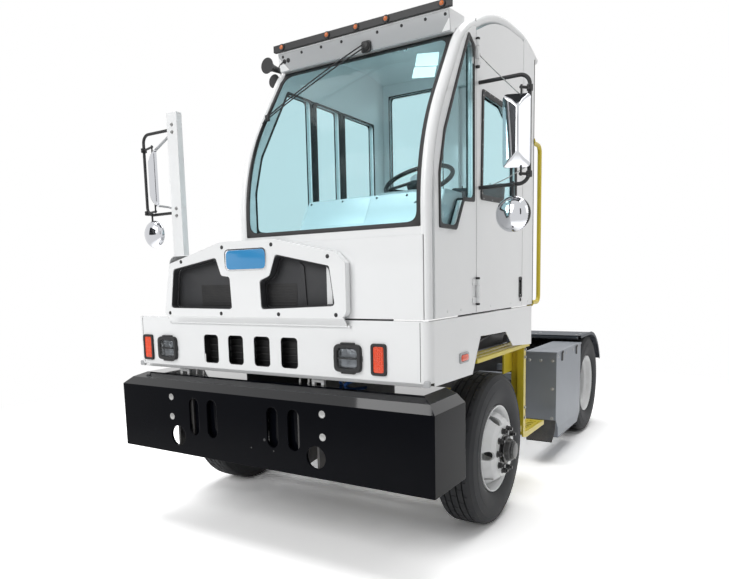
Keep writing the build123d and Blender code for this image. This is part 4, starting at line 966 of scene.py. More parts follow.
# ---- dressing the frame
NODE_FINISH: dict[str, Finish] = {name: look for look, names in (
    (SATIN_BLACK, "frame_rails crossmembers"),
    (GLOSS_BLACK, "front_bumper"),
    (WHITE, "front_panel front_fenders engine_hood mirror_post cab_frame cab_floor cab_roof cab_left_wall "
            "cab_right_wall cab_rear_wall grille_frame left_door rear_door"),
    (BLACK_TRIM, "front_lamps right_mirror marker_bar steering_wheel air_horns door_handle left_mirror"),
    (RADIATOR, "radiator"),
    (CAST_BLACK, "engine_block front_axle leaf_springs rear_axle left_knuckle right_knuckle tie_rod"),
    (TANK, "exhaust fuel_tank"),
    (FENDER, "rear_fenders"),
    (ALUMINIUM, "side_box"),
    (CHEQUER, "deck_plate"),
    (YELLOW, "cab_steps handrail"),
    (CAB_GLASS, "cab_glass left_door_glass rear_door_glass"),
    (DASH, "dashboard"),
    (SEAT_CLOTH, "driver_seat"),
    (BOOM, "lift_boom lift_barrels"),
    (GREASED, "fifth_wheel"),
    (CHROME, "lift_rods"),
    (TYRE, "left_front_tyre right_front_tyre left_rear_tyres right_rear_tyres"),
    (WHEEL, "left_front_wheel right_front_wheel left_rear_wheels right_rear_wheels"),
    (HUB, "left_front_hub right_front_hub left_rear_hub right_rear_hub")) for name in names.split()}


def dress_frame(frame: dict) -> None:
    """Give every mechanical node its finish.

    Args:
        frame: what the frame loader returned.
    """
    for name, node in frame["nodes"].items():
        finish = NODE_FINISH[name]
        node.data.materials.clear()
        node.data.materials.append(Shape.shop.get(finish))
        LOG.info("node %s: %s", name, finish.name)


# ---- cab glazing and roof
@dataclass
class Glazing:
    """Rubber round the panes, the brow, the marker lights, the wiper and what lies behind the windshield."""

    line: CabLine = CabLine()
    left_x: float = 1092.0
    right_x: float = -94.0
    bottom_z: float = 1973.0
    top_z: float = 3042.0
    strip: float = 25.0
    quarter: tuple[Flat, ...] = ((236, 1975), (452, 1975), (560, 2140), (715, 2150), (715, 3020), (640, 3060),
                                 (560, 2930), (460, 2760), (300, 2480), (232, 2250))
    door: tuple[Flat, ...] = ((835, 2180), (1480, 2200), (1480, 2700), (1300, 2760), (1230, 2800), (860, 2800))
    lights: tuple[float, ...] = (-47.0, 302.0, 510.0, 713.0, 1062.0)

    def windshield(self) -> None:
        """Black gasket that follows the windshield's curve."""
        outline = [(self.right_x, self.bottom_z), (self.left_x, self.bottom_z), (self.left_x, self.top_z),
                   (self.right_x, self.top_z)]
        Shape().trim(outline, self.line.screen, (2, self.strip), 8, (6, 62), runs=18).finish(
            "windshield_gasket", RUBBER, Body.CAB)

    def side_panes(self) -> None:
        """Rubber round the quarter window, the side windows and the rear window, inside and outside."""
        shape = Shape().trim(self.quarter, facing_side(1144), (7, 17), 7, WINDOW_RADII)
        shape.trim(self.quarter, facing_side(1104, -1), (7, 17), 4, WINDOW_RADII)
        panes = ([(232, 2010), (836, 2010), (836, 2940), (590, 2940), (300, 2480), (232, 2250)],
                 rectangle(1045, 2475, 290, 930), rectangle(1476, 2475, 428, 930))
        for pane in panes:
            shape.trim(pane, facing_side(-146, -1), (12, 8), 6, WINDOW_RADII)
            shape.trim(pane, facing_side(-106), (8, 7), 5, WINDOW_RADII)
        for s in (868, 1226):
            shape.slab(rectangle(s, 2475, 56, 940), facing_side(-106), 0, 4, 6)
        rear = rectangle(189.5, 2625, 481, 1130)
        shape.trim(rear, facing_rear(1900), (10, 8), 3, WINDOW_RADII)
        shape.trim(rear, facing_front(1860), (3, 5), 3, (6, 34))
        shape.finish("cab_window_rubber", RUBBER, Body.CAB)
        Shape().trim(rectangle(800, 2570, 360, 1020), facing_rear(1936), (8, 20), 6, (10, 40)).finish(
            "rear_door_rubber", RUBBER, Body.REAR_DOOR)

    def door_pane(self) -> None:
        """Wide rubber round the door's window with its screws and sliding bar."""
        shape = Shape().trim(self.door, facing_side(1144), (14, 20), 8, (26, 30))
        shape.trim(self.door, facing_side(1106, -1), (10, 16), 3, (26, 30))
        shape.box(at(1121, 1424, 2196), at(1136, 1446, 2710), 0.003)
        shape.finish("door_window_rubber", RUBBER, Body.LEFT_DOOR)
        screws = Shape()
        for s, z in rounded(grown(self.door, 5), 30, steps=1, runs=4):
            screws.dome(at(1151.5, s, z), LEFT, 0.0045, 0.002)
        screws.finish("door_window_screws", ZINC, Body.LEFT_DOOR)

    def brow(self) -> None:
        """Panel over the windshield with its screws, its grey a painted shade, and the lighter corner piece beside it.
        """
        lean = Vector((0, -24, 113)).normalized()
        out = Vector((0, -lean.z, lean.y))

        def place(u: float, v: float, h: float) -> Point:
            """Point on the brow's leaning face, v up along it."""
            p = Vector((u, 512, 3045)) + lean * v + out * h
            return at(p.x, p.y, p.z)
        # The brow panel's grey is painted shade: white cab paint darkened where the brow leans forward and down.
        Shape().slab([(-95, 2), (1093, 2), (1093, 108), (-95, 108)], place, 0, 3, 6, 1).finish("brow_panel", GREY_AND_BROW_SHADE,
                                                                                               Body.CAB)
        bright = Shape().slab([(-95, 4), (-20, 4), (-95, 92)], place, 3, 5, 8, 0.6)
        bright.slab([(1093, 4), (1093, 70), (1040, 4)], place, 3, 5, 8, 0.6)
        bright.finish("brow_corners", WHITE, Body.CAB)
        screws, plug = Shape(), Shape()
        for x in (-60, 90, 240, 390, 640, 800, 950, 1070):
            screws.dome(place(x, 88, 3), out, 0.0065, 0.0035, 0.009)
        screws.finish("brow_screws", BLACK_TRIM, Body.CAB)
        for x, v in ((-52, 60), (-22, 62)):
            plug.dome(place(x, v, 3), out, 0.011, 0.004, 0.014)
        wire = [at(-176, 745, 3060), at(-168, 640, 3072), at(-140, 545, 3066), at(-104, 498, 3088), place(-52, 60, 10)]
        plug.pipe(wire, 0.0042, smooth=True)
        plug.finish("horn_lead", RUBBER, Body.CAB)

    def marker_lights(self) -> None:
        """Five amber marker lights in black bezels on the black strip."""
        bezels, lenses = Shape(), Shape()
        for x in self.lights:
            bezels.lathe([(0, 0.013), (0, 0.021), (0.005, 0.021), (0.008, 0.017), (0.008, 0.013)],
                         at(x, 468, 3180), FORWARD, 28)
            lenses.lathe([(0, 0), (0, 0.0135), (0.008, 0.013), (0.012, 0.008), (0.0135, 0)], at(x, 468, 3180),
                         FORWARD, 24)
        bezels.finish("marker_bezels", BLACK_TRIM, Body.CAB)
        lenses.finish("marker_lenses", ORANGE, Body.CAB)

    def wiper(self) -> None:
        """Wiper with its motor cap, twin rods and a long blade beside the right pillar."""
        shape = Shape()
        shape.lathe([(0, 0), (0, 0.03), (0.018, 0.03), (0.03, 0.02), (0.034, 0)], at(561, 505, 3068), (0, -1, 0.2),
                    24)
        shape.slab(rectangle(561, 3066, 62, 66), facing_front(498), 0, 10, 14)
        hub = Vector(at(561, 462, 3072))
        tip = Vector(self.line.screen(-46, 2701, 34))
        for drop in (0, -0.021):
            off = Vector((0, 0, drop))
            middle = (hub + tip) / 2 + off + Vector((0, -0.012, 0.018))
            shape.pipe([hub + off, middle, tip + off * 0.6], 0.0042, smooth=True)
        shape.box(tip - Vector((0.014, 0.008, 0.026)), tip + Vector((0.014, 0.01, 0.012)), 0.003)
        blade = [self.line.screen(-72 + 10 * t, 2206 + 680 * t, 15) for t in (0, 0.2, 0.4, 0.6, 0.8, 1)]
        shape.pipe(blade, 0.007, smooth=True)
        bow = [self.line.screen(-70 + 8 * t, 2206 + 680 * t, h) for t, h in
               ((0.08, 14), (0.2, 25), (0.5, 34), (0.8, 25), (0.94, 14))]
        shape.pipe(bow, 0.005, smooth=True)
        shape.pipe([tip, self.line.screen(-64, 2660, 30)], 0.006)
        shape.finish("wiper", BLACK_TRIM, Body.CAB)

    def behind_glass(self) -> None:
        """Two blank white papers on the windshield and the dome lamp on the roof lining."""
        papers = Shape()
        for corners in ([(904, 2880), (1050, 2853), (1034, 2944), (889, 2967)],
                        [(910, 2804), (1053, 2781), (1046, 2850), (900, 2876)]):
            loops = [[self.line.screen(u, v, h) for u, v in rounded(corners, 4, runs=3)] for h in (-6.6, -7.4)]
            papers.rings(loops)
        papers.finish("blank_papers", PAPER, Body.CAB)
        Shape().lathe([(0, 0), (0, 0.07), (0.012, 0.068), (0.026, 0.055), (0.034, 0.03), (0.036, 0)],
                      at(430, 1120, 3272), (0, 0, -1), 36).finish("dome_lamp_lens", CLEAR_LENS, Body.CAB)
        Shape().lathe([(0, 0.072), (0, 0.088), (0.01, 0.088), (0.016, 0.08), (0.016, 0.072)],
                      at(430, 1120, 3274), (0, 0, -1), 36).finish("dome_lamp_ring", REFLECTOR, Body.CAB)

    def build(self) -> None:
        """Build every piece of the zone."""
        self.windshield()
        self.side_panes()
        self.door_pane()
        self.brow()
        self.marker_lights()
        self.wiper()
        self.behind_glass()


# ---- front face
@dataclass
class FrontFace:
    """Lamps, grille, bumper fittings and what shows between the bumper and the panel."""

    lamp_z: float = 1266.0
    lamp_x: float = 741.0
    signal_x: float = 941.0
    panel_s: float = 108.0
    cx: float = -106.0
    openings: tuple[tuple[Flat, ...], ...] = (
        ((-740, 1545), (-190, 1540), (-200, 1740), (-270, 1748), (-312, 1862), (-700, 1800)),
        ((48, 1540), (585, 1562), (553, 1786), (170, 1864), (120, 1740), (42, 1712)))

    def headlamps(self) -> None:
        """Headlamps: black bezel with tabs, smoked bowl and a clear lens parted by a level bar."""
        bezel, bowl, lens, face = Shape(), Shape(), Shape(), facing_front(self.panel_s)
        for sign in (1, -1):
            x, z = self.cx + sign * self.lamp_x, self.lamp_z
            bezel.trim(rectangle(x, z, 132, 112), face, (24, 4), 22, (34, 26))
            bezel.slab(rectangle(x, z, 124, 9), face, 12, 22.5, 3)
            for u, w, v, t in ((0, 92, 80, 18), (0, 92, -80, 18), (84, 20, 0, 34), (-84, 20, 0, 34)):
                bezel.slab(rectangle(x + u, z + v, w, t), face, 0, 15, 6)
            for dx, dz in ((-32, 27.88), (32, 27.88), (-32, -27.88), (32, -27.88)):
                bowl.lathe([(0, 0.03), (0, 0.027), (-0.018, 0.02), (-0.028, 0.01), (-0.03, 0)],
                           at(x + dx, self.panel_s - 6, z + dz), FORWARD, 24)
                bowl.ball(at(x + dx, self.panel_s + 8, z + dz), 0.007, segments=12)

            def ring(inset: float, height: float) -> list[Point]:
                """Outline of the lens at this height."""
                return [face(u, v, height) for u, v in rounded(grown(rectangle(x, z, 134, 114), -inset), 26)]

            section = ((0, 10), (0, 14), (8, 19), (24, 22), (26, 19), (10, 15.5), (3, 12), (3, 10))
            lens.rings([ring(*p) for p in section], closed=True)
            lens.rings([ring(24, 19), ring(24, 22)])
            bowl.slab(rectangle(x, z, 130, 110), face, 0, 4, 24)
        body = bezel.finish("headlamp_bezels", BLACK_TRIM)
        bowl.finish("headlamp_bowls", LAMP_BOWL)
        lens.finish("headlamp_lenses", CLEAR_LENS)
        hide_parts("front_lamps")

    def signals(self) -> None:
        """Turn signals: orange lenses full of small domes in black rubber grommets."""
        grommet, lens = Shape(), Shape()
        for sign in (1, -1):
            x, z = self.cx + sign * self.signal_x, self.lamp_z
            face = facing_front(self.panel_s)
            grommet.trim(rectangle(x, z, 70, 150), face, (14, 4), 13, (18, 12))
            lens.slab(rectangle(x, z, 66, 146), face, -6, 9, 12, 3)
            for i in range(5):
                for k in range(11):
                    lens.ball(face(x - 24 + 12 * i, z - 62 + 12.4 * k, 8.4), 0.0054, (1, 0.8, 1), 8)
        grommet.finish("signal_grommets", RUBBER)
        lens.finish("signal_lenses", AMBER)

    def side_markers(self) -> None:
        """Orange side marker in a grey surround on each fender's side."""
        rim, lens = Shape(), Shape()
        for x, sign in ((1144, 1), (-1159, -1)):
            face = facing_side(x, sign)
            rim.trim(rectangle(556, 1240, 104, 38), face, (12, 2), 9, (16, 14))
            lens.slab(rectangle(556, 1240, 102, 36), face, 0, 13, 16, 4)
        rim.finish("side_marker_rims", GREY_AND_BROW_SHADE)
        lens.finish("side_marker_lenses", AMBER)

    def grille(self) -> None:
        """Dark ducts behind the openings, the mesh of the radiator, the screws and a bare badge plate."""
        ducts = Shape()
        for outline in self.openings:
            for inset, near, far in ((1.2, 59.5, 104), (7.2, 105.5, 120)):
                ducts.rings([[at(u, s, v) for u, v in rounded(grown(outline, -g), 30)]
                             for g, s in ((inset, near), (inset, far), (inset + 4, far),
                                          (inset + 4, near))], closed=True)
            ducts.slab(grown(outline, -5), facing_front(121), -2, 0, 30, 0.4)
        ducts.slab([(313, 1560), (352, 1552), (338, 1790), (306, 1815)], facing_front(121), 0, 9, 8, 3)
        ducts.slab([(540, 1563), (583, 1564.5), (551, 1784.5), (540, 1786)], facing_front(103.8), 0, 0.6, 3, 0.2)
        ducts.finish("grille_ducts", DARK_DUCT, Body.CAB)
        windows = Shape()
        for x in (-368, 135):
            windows.slab(rectangle(x, 1614, 284, 156), facing_front(121), 0.2, 2, 10, 0.4)
            for i in range(9):
                windows.box(at(x - 134, 117, 1548 + i * 16), at(x + 134, 119.4, 1553 + i * 16), 0.0006)
        windows.finish("grille_duct_windows", RADIATOR, Body.CAB)
        fins = Shape()
        for i in range(110):
            fins.box(at(-632 + i * 9.7, 196, 1250), at(-630.4 + i * 9.7, 200, 1862))
        for z in range(1264, 1864, 38):
            fins.box(at(-636, 193, z), at(436, 200, z + 6), 0.001)
        fins.finish("radiator_fins", RADIATOR)
        screws = Shape()
        for x, z in ((-254, 1923), (142, 1922), (544, 1838), (-754, 1512), (-285, 1512), (180, 1512), (591, 1512),
                     (-624, 1846)):
            screws.dome(at(x, 58, z), FORWARD, 0.0085, 0.005, 0.012)
        screws.finish("grille_screws", BLACK_TRIM, Body.CAB)
        rim = Shape().trim(rectangle(-60, 1842, 320, 118), facing_front(58), (8, 4), 9, (34, 30))
        rim.finish("badge_rim", REFLECTOR, Body.CAB, "mirror_metal")
        plate = Shape().slab(rectangle(-60, 1842, 318, 116), facing_front(58), 0, 6, 30)
        plate.finish("bare_badge_plate", BADGE_BLUE, Body.CAB)

    def shroud(self) -> None:
        """Dark air box behind the lower panel's vents, open to the rear, with a fan grille across it."""
        shape = Shape()
        outer = rectangle(self.cx - 8, 1274, 810, 196)
        loops = [[at(u, s, v) for u, v in rounded(grown(outer, g), 20)]
                 for g, s in ((0, 133), (0, 176), (-4, 176), (-4, 133))]
        shape.rings(loops, closed=True)
        shape.slab(grown(outer, -2), facing_front(176), -4, 0, 20, 0.5)
        for i in range(4):
            shape.pipe([at(self.cx - 400, 166, 1212 + 42 * i), at(self.cx + 386, 166, 1212 + 42 * i)], 0.004)
        for x in (-225, -8, 209):
            shape.box(at(self.cx + x - 3, 134, 1184), at(self.cx + x + 3, 172, 1364), 0.001)
        shape.finish("vent_air_box", RADIATOR)

    def bumper(self) -> None:
        """Domed bolts, the plates behind the bumper's openings, and hooks and hoses behind its upper edge."""
        bolts = Shape()
        for x, z in ((-727, 951), (-727, 818), (515, 951), (515, 818)):
            bolts.dome(at(x, 0.5, z), FORWARD, 0.017, 0.0032, 0.022)
        bolts.finish("bumper_bolts", ZINC)
        plates = Shape()
        for x in (-437.5, 225.5):
            plates.slab(rectangle(x, 836, 272, 290), facing_front(32), -5, 0, 10, 1)
        plates.finish("bumper_slot_plates", GLOSS_BLACK)
        holes = Shape()
        for x, z, r in ((80, 752, 9), (-28, 690, 5), (150, 690, 5)):
            holes.lathe([(0, 0), (0, r * MM), (0.0012, r * 0.96 * MM), (0.0014, 0)], at(x, 0, z), FORWARD, 20)
        holes.finish("bumper_small_holes", DARK_DUCT)
        hooks, rings = Shape(), Shape()
        for x in (-770, 370):
            for u in (x - 34, x + 34):
                outline = rounded([(u - 9, 1040), (u + 9, 1040), (u + 11, 1118), (u - 11, 1118)], 8)
                hooks.rings([[at(u, s, v) for u, v in outline] for s in (170, 190)])
            hooks.rod(at(x - 46, 180, 1108), at(x + 46, 180, 1108), 0.013, bevel=0.003)
        hooks.finish("white_hooks", WHITE)
        for x in (-628, 262):
            turns = [polar(34, 18 * k) for k in range(20)]
            rings.pipe([at(x + u, 180 + v * 5 / 34, 1100 + v) for u, v in turns], 0.007, closed=True)
            rings.rod(at(x, 180, 1030), at(x, 180, 1068), 0.012, bevel=0.002)
        rings.finish("tow_rings", ZINC)
        hoses = Shape()
        for x, z in ((512, 1116), (546, 1092)):
            hoses.pipe([at(x - 30, 330, z - 130), at(x - 14, 250, z - 40), at(x, 190, z), at(x + 30, 230, z + 22),
                        at(x + 64, 330, z + 20)], 0.0105, smooth=True)
        hoses.finish("blue_hoses", BLUE_HOSE)

    def corner_patch(self) -> None:
        """Cast corner piece under the panel's left end, and the seams in the panel's front."""
        patch = Shape()
        for corners in ([(1092, 1130), (1140, 1130), (1140, 1164), (1108, 1166)],
                        [(-1155, 1130), (-1107, 1130), (-1123, 1166), (-1155, 1164)]):
            patch.slab(corners, facing_front(122), 0, 14, 8, 3)
        patch.finish("panel_corner_castings", GREY_AND_BROW_SHADE)
        seams = Shape()
        for x in (1087, -1102):
            seams.box(at(x - 1.5, self.panel_s - 0.8, 1158), at(x + 1.5, self.panel_s + 1, 1474))
        seams.finish("panel_seams", DARK_DUCT)
        Shape().box(at(1085.5, 112.5, 1500), at(1088.5, 115, 1780)).finish("cab_front_seam", DARK_DUCT, Body.CAB)

    def build(self) -> None:
        """Build every piece of the zone."""
        self.headlamps()
        self.signals()
        self.side_markers()
        self.grille()
        self.shroud()
        self.bumper()
        self.corner_patch()


# ---- wheels
WHEEL_SIDES = (("left", 1, Body.LEFT_FRONT, Body.LEFT_REAR), ("right", -1, Body.RIGHT_FRONT, Body.RIGHT_REAR))


@dataclass
class Wheels:
    """Treaded tyres, wheel nuts, hub caps and valves of the four wheel sets."""

    axle_z: float = 524.0
    radius: float = 524.0
    half_width: float = 139.5
    front_s: float = 1238.0
    rear_s: float = 4184.0
    front_out: float = 1093.0
    rear_out: float = 880.0
    dual_half: float = 171.5
    stud_circle: float = 142.875

    def profile(self, grooves: Sequence[float], width: float, depth: float) -> list[Flat]:
        """Closed section of a tyre.

        Args:
            grooves: middles of the tread's grooves.
            width: width of a groove.
            depth: depth of a groove.

        Returns:
            (along the axle, radius) points in metres.
        """
        w, r = self.half_width, self.radius
        left = [(-101.5, 288), (-103.5, 300), (-110, 309), (-113, 308), (-124, 325), (-w + 3, 365), (-w + 0.6, 392),
                (-w, 405), (-w + 0.8, 420), (-w + 2.6, 421), (-w + 5, 452), (-w + 9, 470), (-w + 7.5, 474),
                (-w + 20, 494), (-w + 26, 505), (-w + 24, 508), (-w + 35, r - 9), (-w + 46, r - 3.2)]
        crown: list[Flat] = []
        for g in sorted(grooves):
            top = r - 3.2 * (g / (w - 46)) ** 2
            crown += [(g - width / 2, top), (g - width / 3, top - depth), (g + width / 3, top - depth),
                      (g + width / 2, top)]
        right = [(-x, y) for x, y in reversed(left)]
        inside = [(82, 288), (84, 304), (106, 330), (w - 22, 365), (w - 18, 405), (w - 22, 450), (w - 36, r - 38),
                  (w - 52, r - 26), (0, r - 24), (-w + 52, r - 26), (-w + 36, r - 38), (-w + 22, 450), (-w + 18, 405),
                  (-w + 22, 365), (-106, 330), (-84, 304), (-82, 288)]
        return [(x * MM, y * MM) for x, y in left + crown + right + inside]

    def tyre(self, shape: Shape, centre: Point, grooves: Sequence[float], width: float, depth: float, every: int,
             notch: float) -> None:
        """Add one treaded tyre.

        Args:
            shape: the shape that takes it.
            centre: middle of the tyre.
            grooves: middles of its grooves.
            width: width of a groove.
            depth: depth of a groove.
            every: the tread is notched at one sector in this many.
            notch: depth of the notches.
        """
        steps = 120
        part = Shape.turned(self.profile(grooves, width, depth), steps)
        bmesh.ops.recalc_face_normals(part, faces=part.faces)
        chosen = []
        for face in part.faces:
            middle = face.calc_center_median()
            reach = math.hypot(middle.x, middle.y)
            if reach < (self.radius - 4.5) * MM or abs(middle.z) > (self.half_width - 34) * MM:
                continue
            rib = sum(1 for g in grooves if middle.z > g * MM)
            sector = int((math.atan2(middle.y, middle.x) / math.tau + 1) * steps + 0.5)
            if (sector + 2 * rib) % every == 0:
                chosen.append(face)
        bmesh.ops.inset_individual(part, faces=chosen, thickness=0.0032, depth=-notch * MM)
        stand(part, centre, LEFT)
        shape._take(part)

    def tyres(self) -> None:
        """Ribbed steer tyres and blocky drive tyres, in place of the plain ones."""
        for name, sign, front, rear in WHEEL_SIDES:
            steer = Shape()
            x = CHASSIS_X / MM + sign * self.front_out
            self.tyre(steer, at(x, self.front_s, self.axle_z), (-66, -24, 24, 66), 10, 13, 4, 3)
            piece = steer.finish(f"{name}_steer_tyre", TYRE, front, smooth_angle=28)
            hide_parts(f"{name}_front_tyre")
            drive = Shape()
            for off in (-self.dual_half, self.dual_half):
                x = CHASSIS_X / MM + sign * self.rear_out + off
                self.tyre(drive, at(x, self.rear_s, self.axle_z), (-52, 0, 52), 12, 16, 3, 13)
            piece = drive.finish(f"{name}_drive_tyres", TYRE, rear, smooth_angle=28)
            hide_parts(f"{name}_rear_tyres")

    def fittings(self, name: str, sign: int, body: Body, front: bool) -> None:
        """Nuts, hub cap with its bolts and valve stem of one wheel set.

        Args:
            name: left_front and the like.
            sign: 1 on the left and -1 on the right.
            body: body that they ride on.
            front: whether it is a steered wheel.
        """
        middle, seat, s = (self.front_out, 171.5, self.front_s) if front else (self.rear_out, 11, self.rear_s)
        out = (sign, 0, 0)

        def spot(along: float, radius: float = 0.0, degrees: float = 0.0) -> Point:
            """Point this far out along the axle and this far from it."""
            y, z = polar(radius, degrees)
            return at(CHASSIS_X / MM + sign * (middle + along), s + y, self.axle_z + z)
        nuts, cap, valve = Shape(), Shape(), Shape()
        for i in range(10):
            stud = (self.stud_circle, 36 * i)
            nuts.lathe([(0, 0.012), (0, 0.0225), (0.004, 0.0225), (0.007, 0.018), (0.007, 0.012)], spot(seat, *stud),
                       out, 20)
            nuts.nut(spot(seat + 6, *stud), out, 0.033, 0.022)
            nuts.rod(spot(seat + 26, *stud), spot(seat + 40, *stud), 0.0108, 16)
        nuts.finish(f"{name}_nuts", HUB, body)
        if front:
            cap.lathe([(0, 0), (0, 0.064), (0.006, 0.064), (0.01, 0.058), (0.018, 0.052), (0.022, 0.036), (0.022, 0)],
                      spot(230.5), out, 40)
            for i in range(6):
                cap.nut(spot(233.5, 57, 60 * i + 15), out, 0.012, 0.008)
            cap.lathe([(-0.045, 0.076), (-0.045, 0.092), (-0.036, 0.092), (-0.03, 0.08), (-0.03, 0.074)],
                      spot(230.5), out, 40)
        else:
            for i in range(8):
                cap.nut(spot(131, 68, 45 * i), out, 0.021, 0.012, 0.014)
            cap.lathe([(0, 0), (0, 0.038), (0.01, 0.036), (0.016, 0.026), (0.017, 0)], spot(131), out, 32)
        cap.finish(f"{name}_cap", HUB, body)
        foot = CHASSIS_X / MM + sign * (middle + (88 if front else 62))
        stem = [at(foot + sign * u, s - 174 + v, self.axle_z - 178 + v) for u, v in ((0, 2), (52, 8), (64, 9))]
        valve.rod(stem[0], stem[1], 0.0042, 10)
        valve.rod(stem[1], stem[2], 0.0055, 10)
        valve.finish(f"{name}_valve", ZINC, body)

    def build(self) -> None:
        """Build every piece of the zone."""
        self.tyres()
        for name, sign, front, rear in WHEEL_SIDES:
            self.fittings(f"{name}_front", sign, front, True)
            self.fittings(f"{name}_rear", sign, rear, False)


# ---- mirrors
@dataclass
class Mirrors:
    """Chromed mirror shells, their glass, clamps and stays on both sides."""

    width: float = 152.0
    height: float = 400.0
    round_radius: float = 101.0
    reach: float = 1445.0

    def head(self, chrome: Shape, panes: Shape, centre: Point, turn: float) -> None:
        """Add one flat mirror: a hipped chrome back and its glass.

        Args:
            chrome: shape of the shells.
            panes: shape of the glasses.
            centre: middle of the glass side, in metres.
            turn: turn about the vertical in degrees.
        """
        place = Matrix.Translation(Vector(centre)) @ Matrix.Rotation(math.radians(turn), 4, "Z")

        def ring(width: float, height: float, radius: float, depth: float) -> list[Point]:
            """Rounded rectangle this far in front of the glass."""
            outline = rounded(rectangle(0, 0, width, height), radius, steps=6)
            return [tuple(place @ Vector((u * MM, -depth * MM, v * MM))) for u, v in outline]
        w, h = self.width, self.height
        chrome.rings([ring(w - 6, h - 6, 26, -1.5), ring(w + 2, h + 2, 28, -1.5), ring(w + 3, h + 3, 28, 4),
                      ring(w + 2.4, h + 2.4, 28, 16), ring(w - 22, h - 22, 24, 26), ring(w - 70, h - 64, 18, 42),
                      ring(18, h - w + 6, 6, 58), ring(8, h - w - 6, 3, 60)])
        panes.rings([ring(w - 8, h - 8, 24, -0.4), ring(w - 8, h - 8, 24, -2.4)])

    def round_one(self, chrome: Shape, panes: Shape, centre: Point) -> None:
        """Add one round mirror: a chrome bowl and its bulging glass.

        Args:
            chrome: shape of the bowls.
            panes: shape of the glasses.
            centre: middle of its rim, in metres.
        """
        r = self.round_radius * MM
        chrome.lathe([(-0.002, r - 0.01), (-0.002, r + 0.001), (0.006, r + 0.0025), (0.012, r + 0.001),
                      (0.026, r - 0.007),
                      (0.043, r * 0.74), (0.055, r * 0.42), (0.0595, r * 0.12), (0.06, 0)], centre, FORWARD, 48)
        panes.lathe([(0.001, 0), (0.001, r - 0.006), (0.004, r - 0.008), (0.012, r * 0.6), (0.0155, r * 0.25),
                     (0.016, 0)], centre, REARWARD, 48)

    def side(self, name: str, sign: int, body: Body, s: float, head_at: Point, turn: float, round_z: float) -> None:
        """Build one side's mirrors.

        Args:
            name: left or right.
            sign: 1 on the left and -1 on the right.
            body: body that they ride on.
            s: station of the loop.
            head_at: middle of the flat mirror, in millimetres.
            turn: turn of the flat mirror in degrees.
            round_z: height of the round mirror.
        """
        chrome, panes, clamps = Shape(), Shape(), Shape()
        self.head(chrome, panes, at(*head_at), sign * turn)
        outer = sign * self.reach
        self.round_one(chrome, panes, at(outer - sign * (self.round_radius - 14), s - 12, round_z))
        chrome.finish(f"{name}_mirror_shells", CHROME, body)
        panes.finish(f"{name}_mirror_glass", MIRROR, body)
        for end in (1, -1):
            z = head_at[2] + end * (self.height / 2 + 36)
            for off in (-9, 9):
                clamps.nut(at(outer, s - 18, z + off), FORWARD, 0.011, 0.007)
            clamps.box(at(outer - 13, s - 19, z - 17), at(outer + 13, s + 19, z + 17), 0.004)
        clamps.finish(f"{name}_mirror_clamps", BLACK_TRIM, body)

    def stays(self) -> None:
        """Thin stays that steady the loops."""
        shape = Shape()
        shape.pipe([at(1152, 780, 2984), at(1180, 786, 2950), at(1383, 796, 2731), at(1420, 798, 2700)], 0.003,
                   smooth=True)
        shape.pipe([at(1207, 800, 2236), at(1300, 794, 2262), at(1386, 790, 2302), at(1424, 797, 2322)], 0.003,
                   smooth=True)
        shape.ball(at(1149, 779, 2986), 0.011, segments=12)
        shape.finish("left_mirror_stays", ZINC, Body.LEFT_DOOR)
        right = Shape()
        right.pipe([at(-1152, 495, 2796), at(-1190, 489, 2770), at(-1300, 480, 2704)], 0.01)
        right.pipe([at(-1152, 495, 2262), at(-1200, 490, 2278), at(-1330, 480, 2300)], 0.008)
        right.finish("right_mirror_stays", GREY_AND_BROW_SHADE)
        bolts = Shape()
        for z in (2808, 2860, 2207, 2259):
            bolts.nut(at(-1096, 470, z), FORWARD, 0.016, 0.009, 0.013)
        bolts.finish("mirror_post_bolts", ZINC)

    def build(self) -> None:
        """Build every piece of the zone."""
        self.side("left", 1, Body.LEFT_DOOR, 800, (1381, 764, 2519), 24, 2063)
        self.side("right", -1, Body.CHASSIS, 495, (-1262, 450, 2486), 38, 2085)
        self.stays()


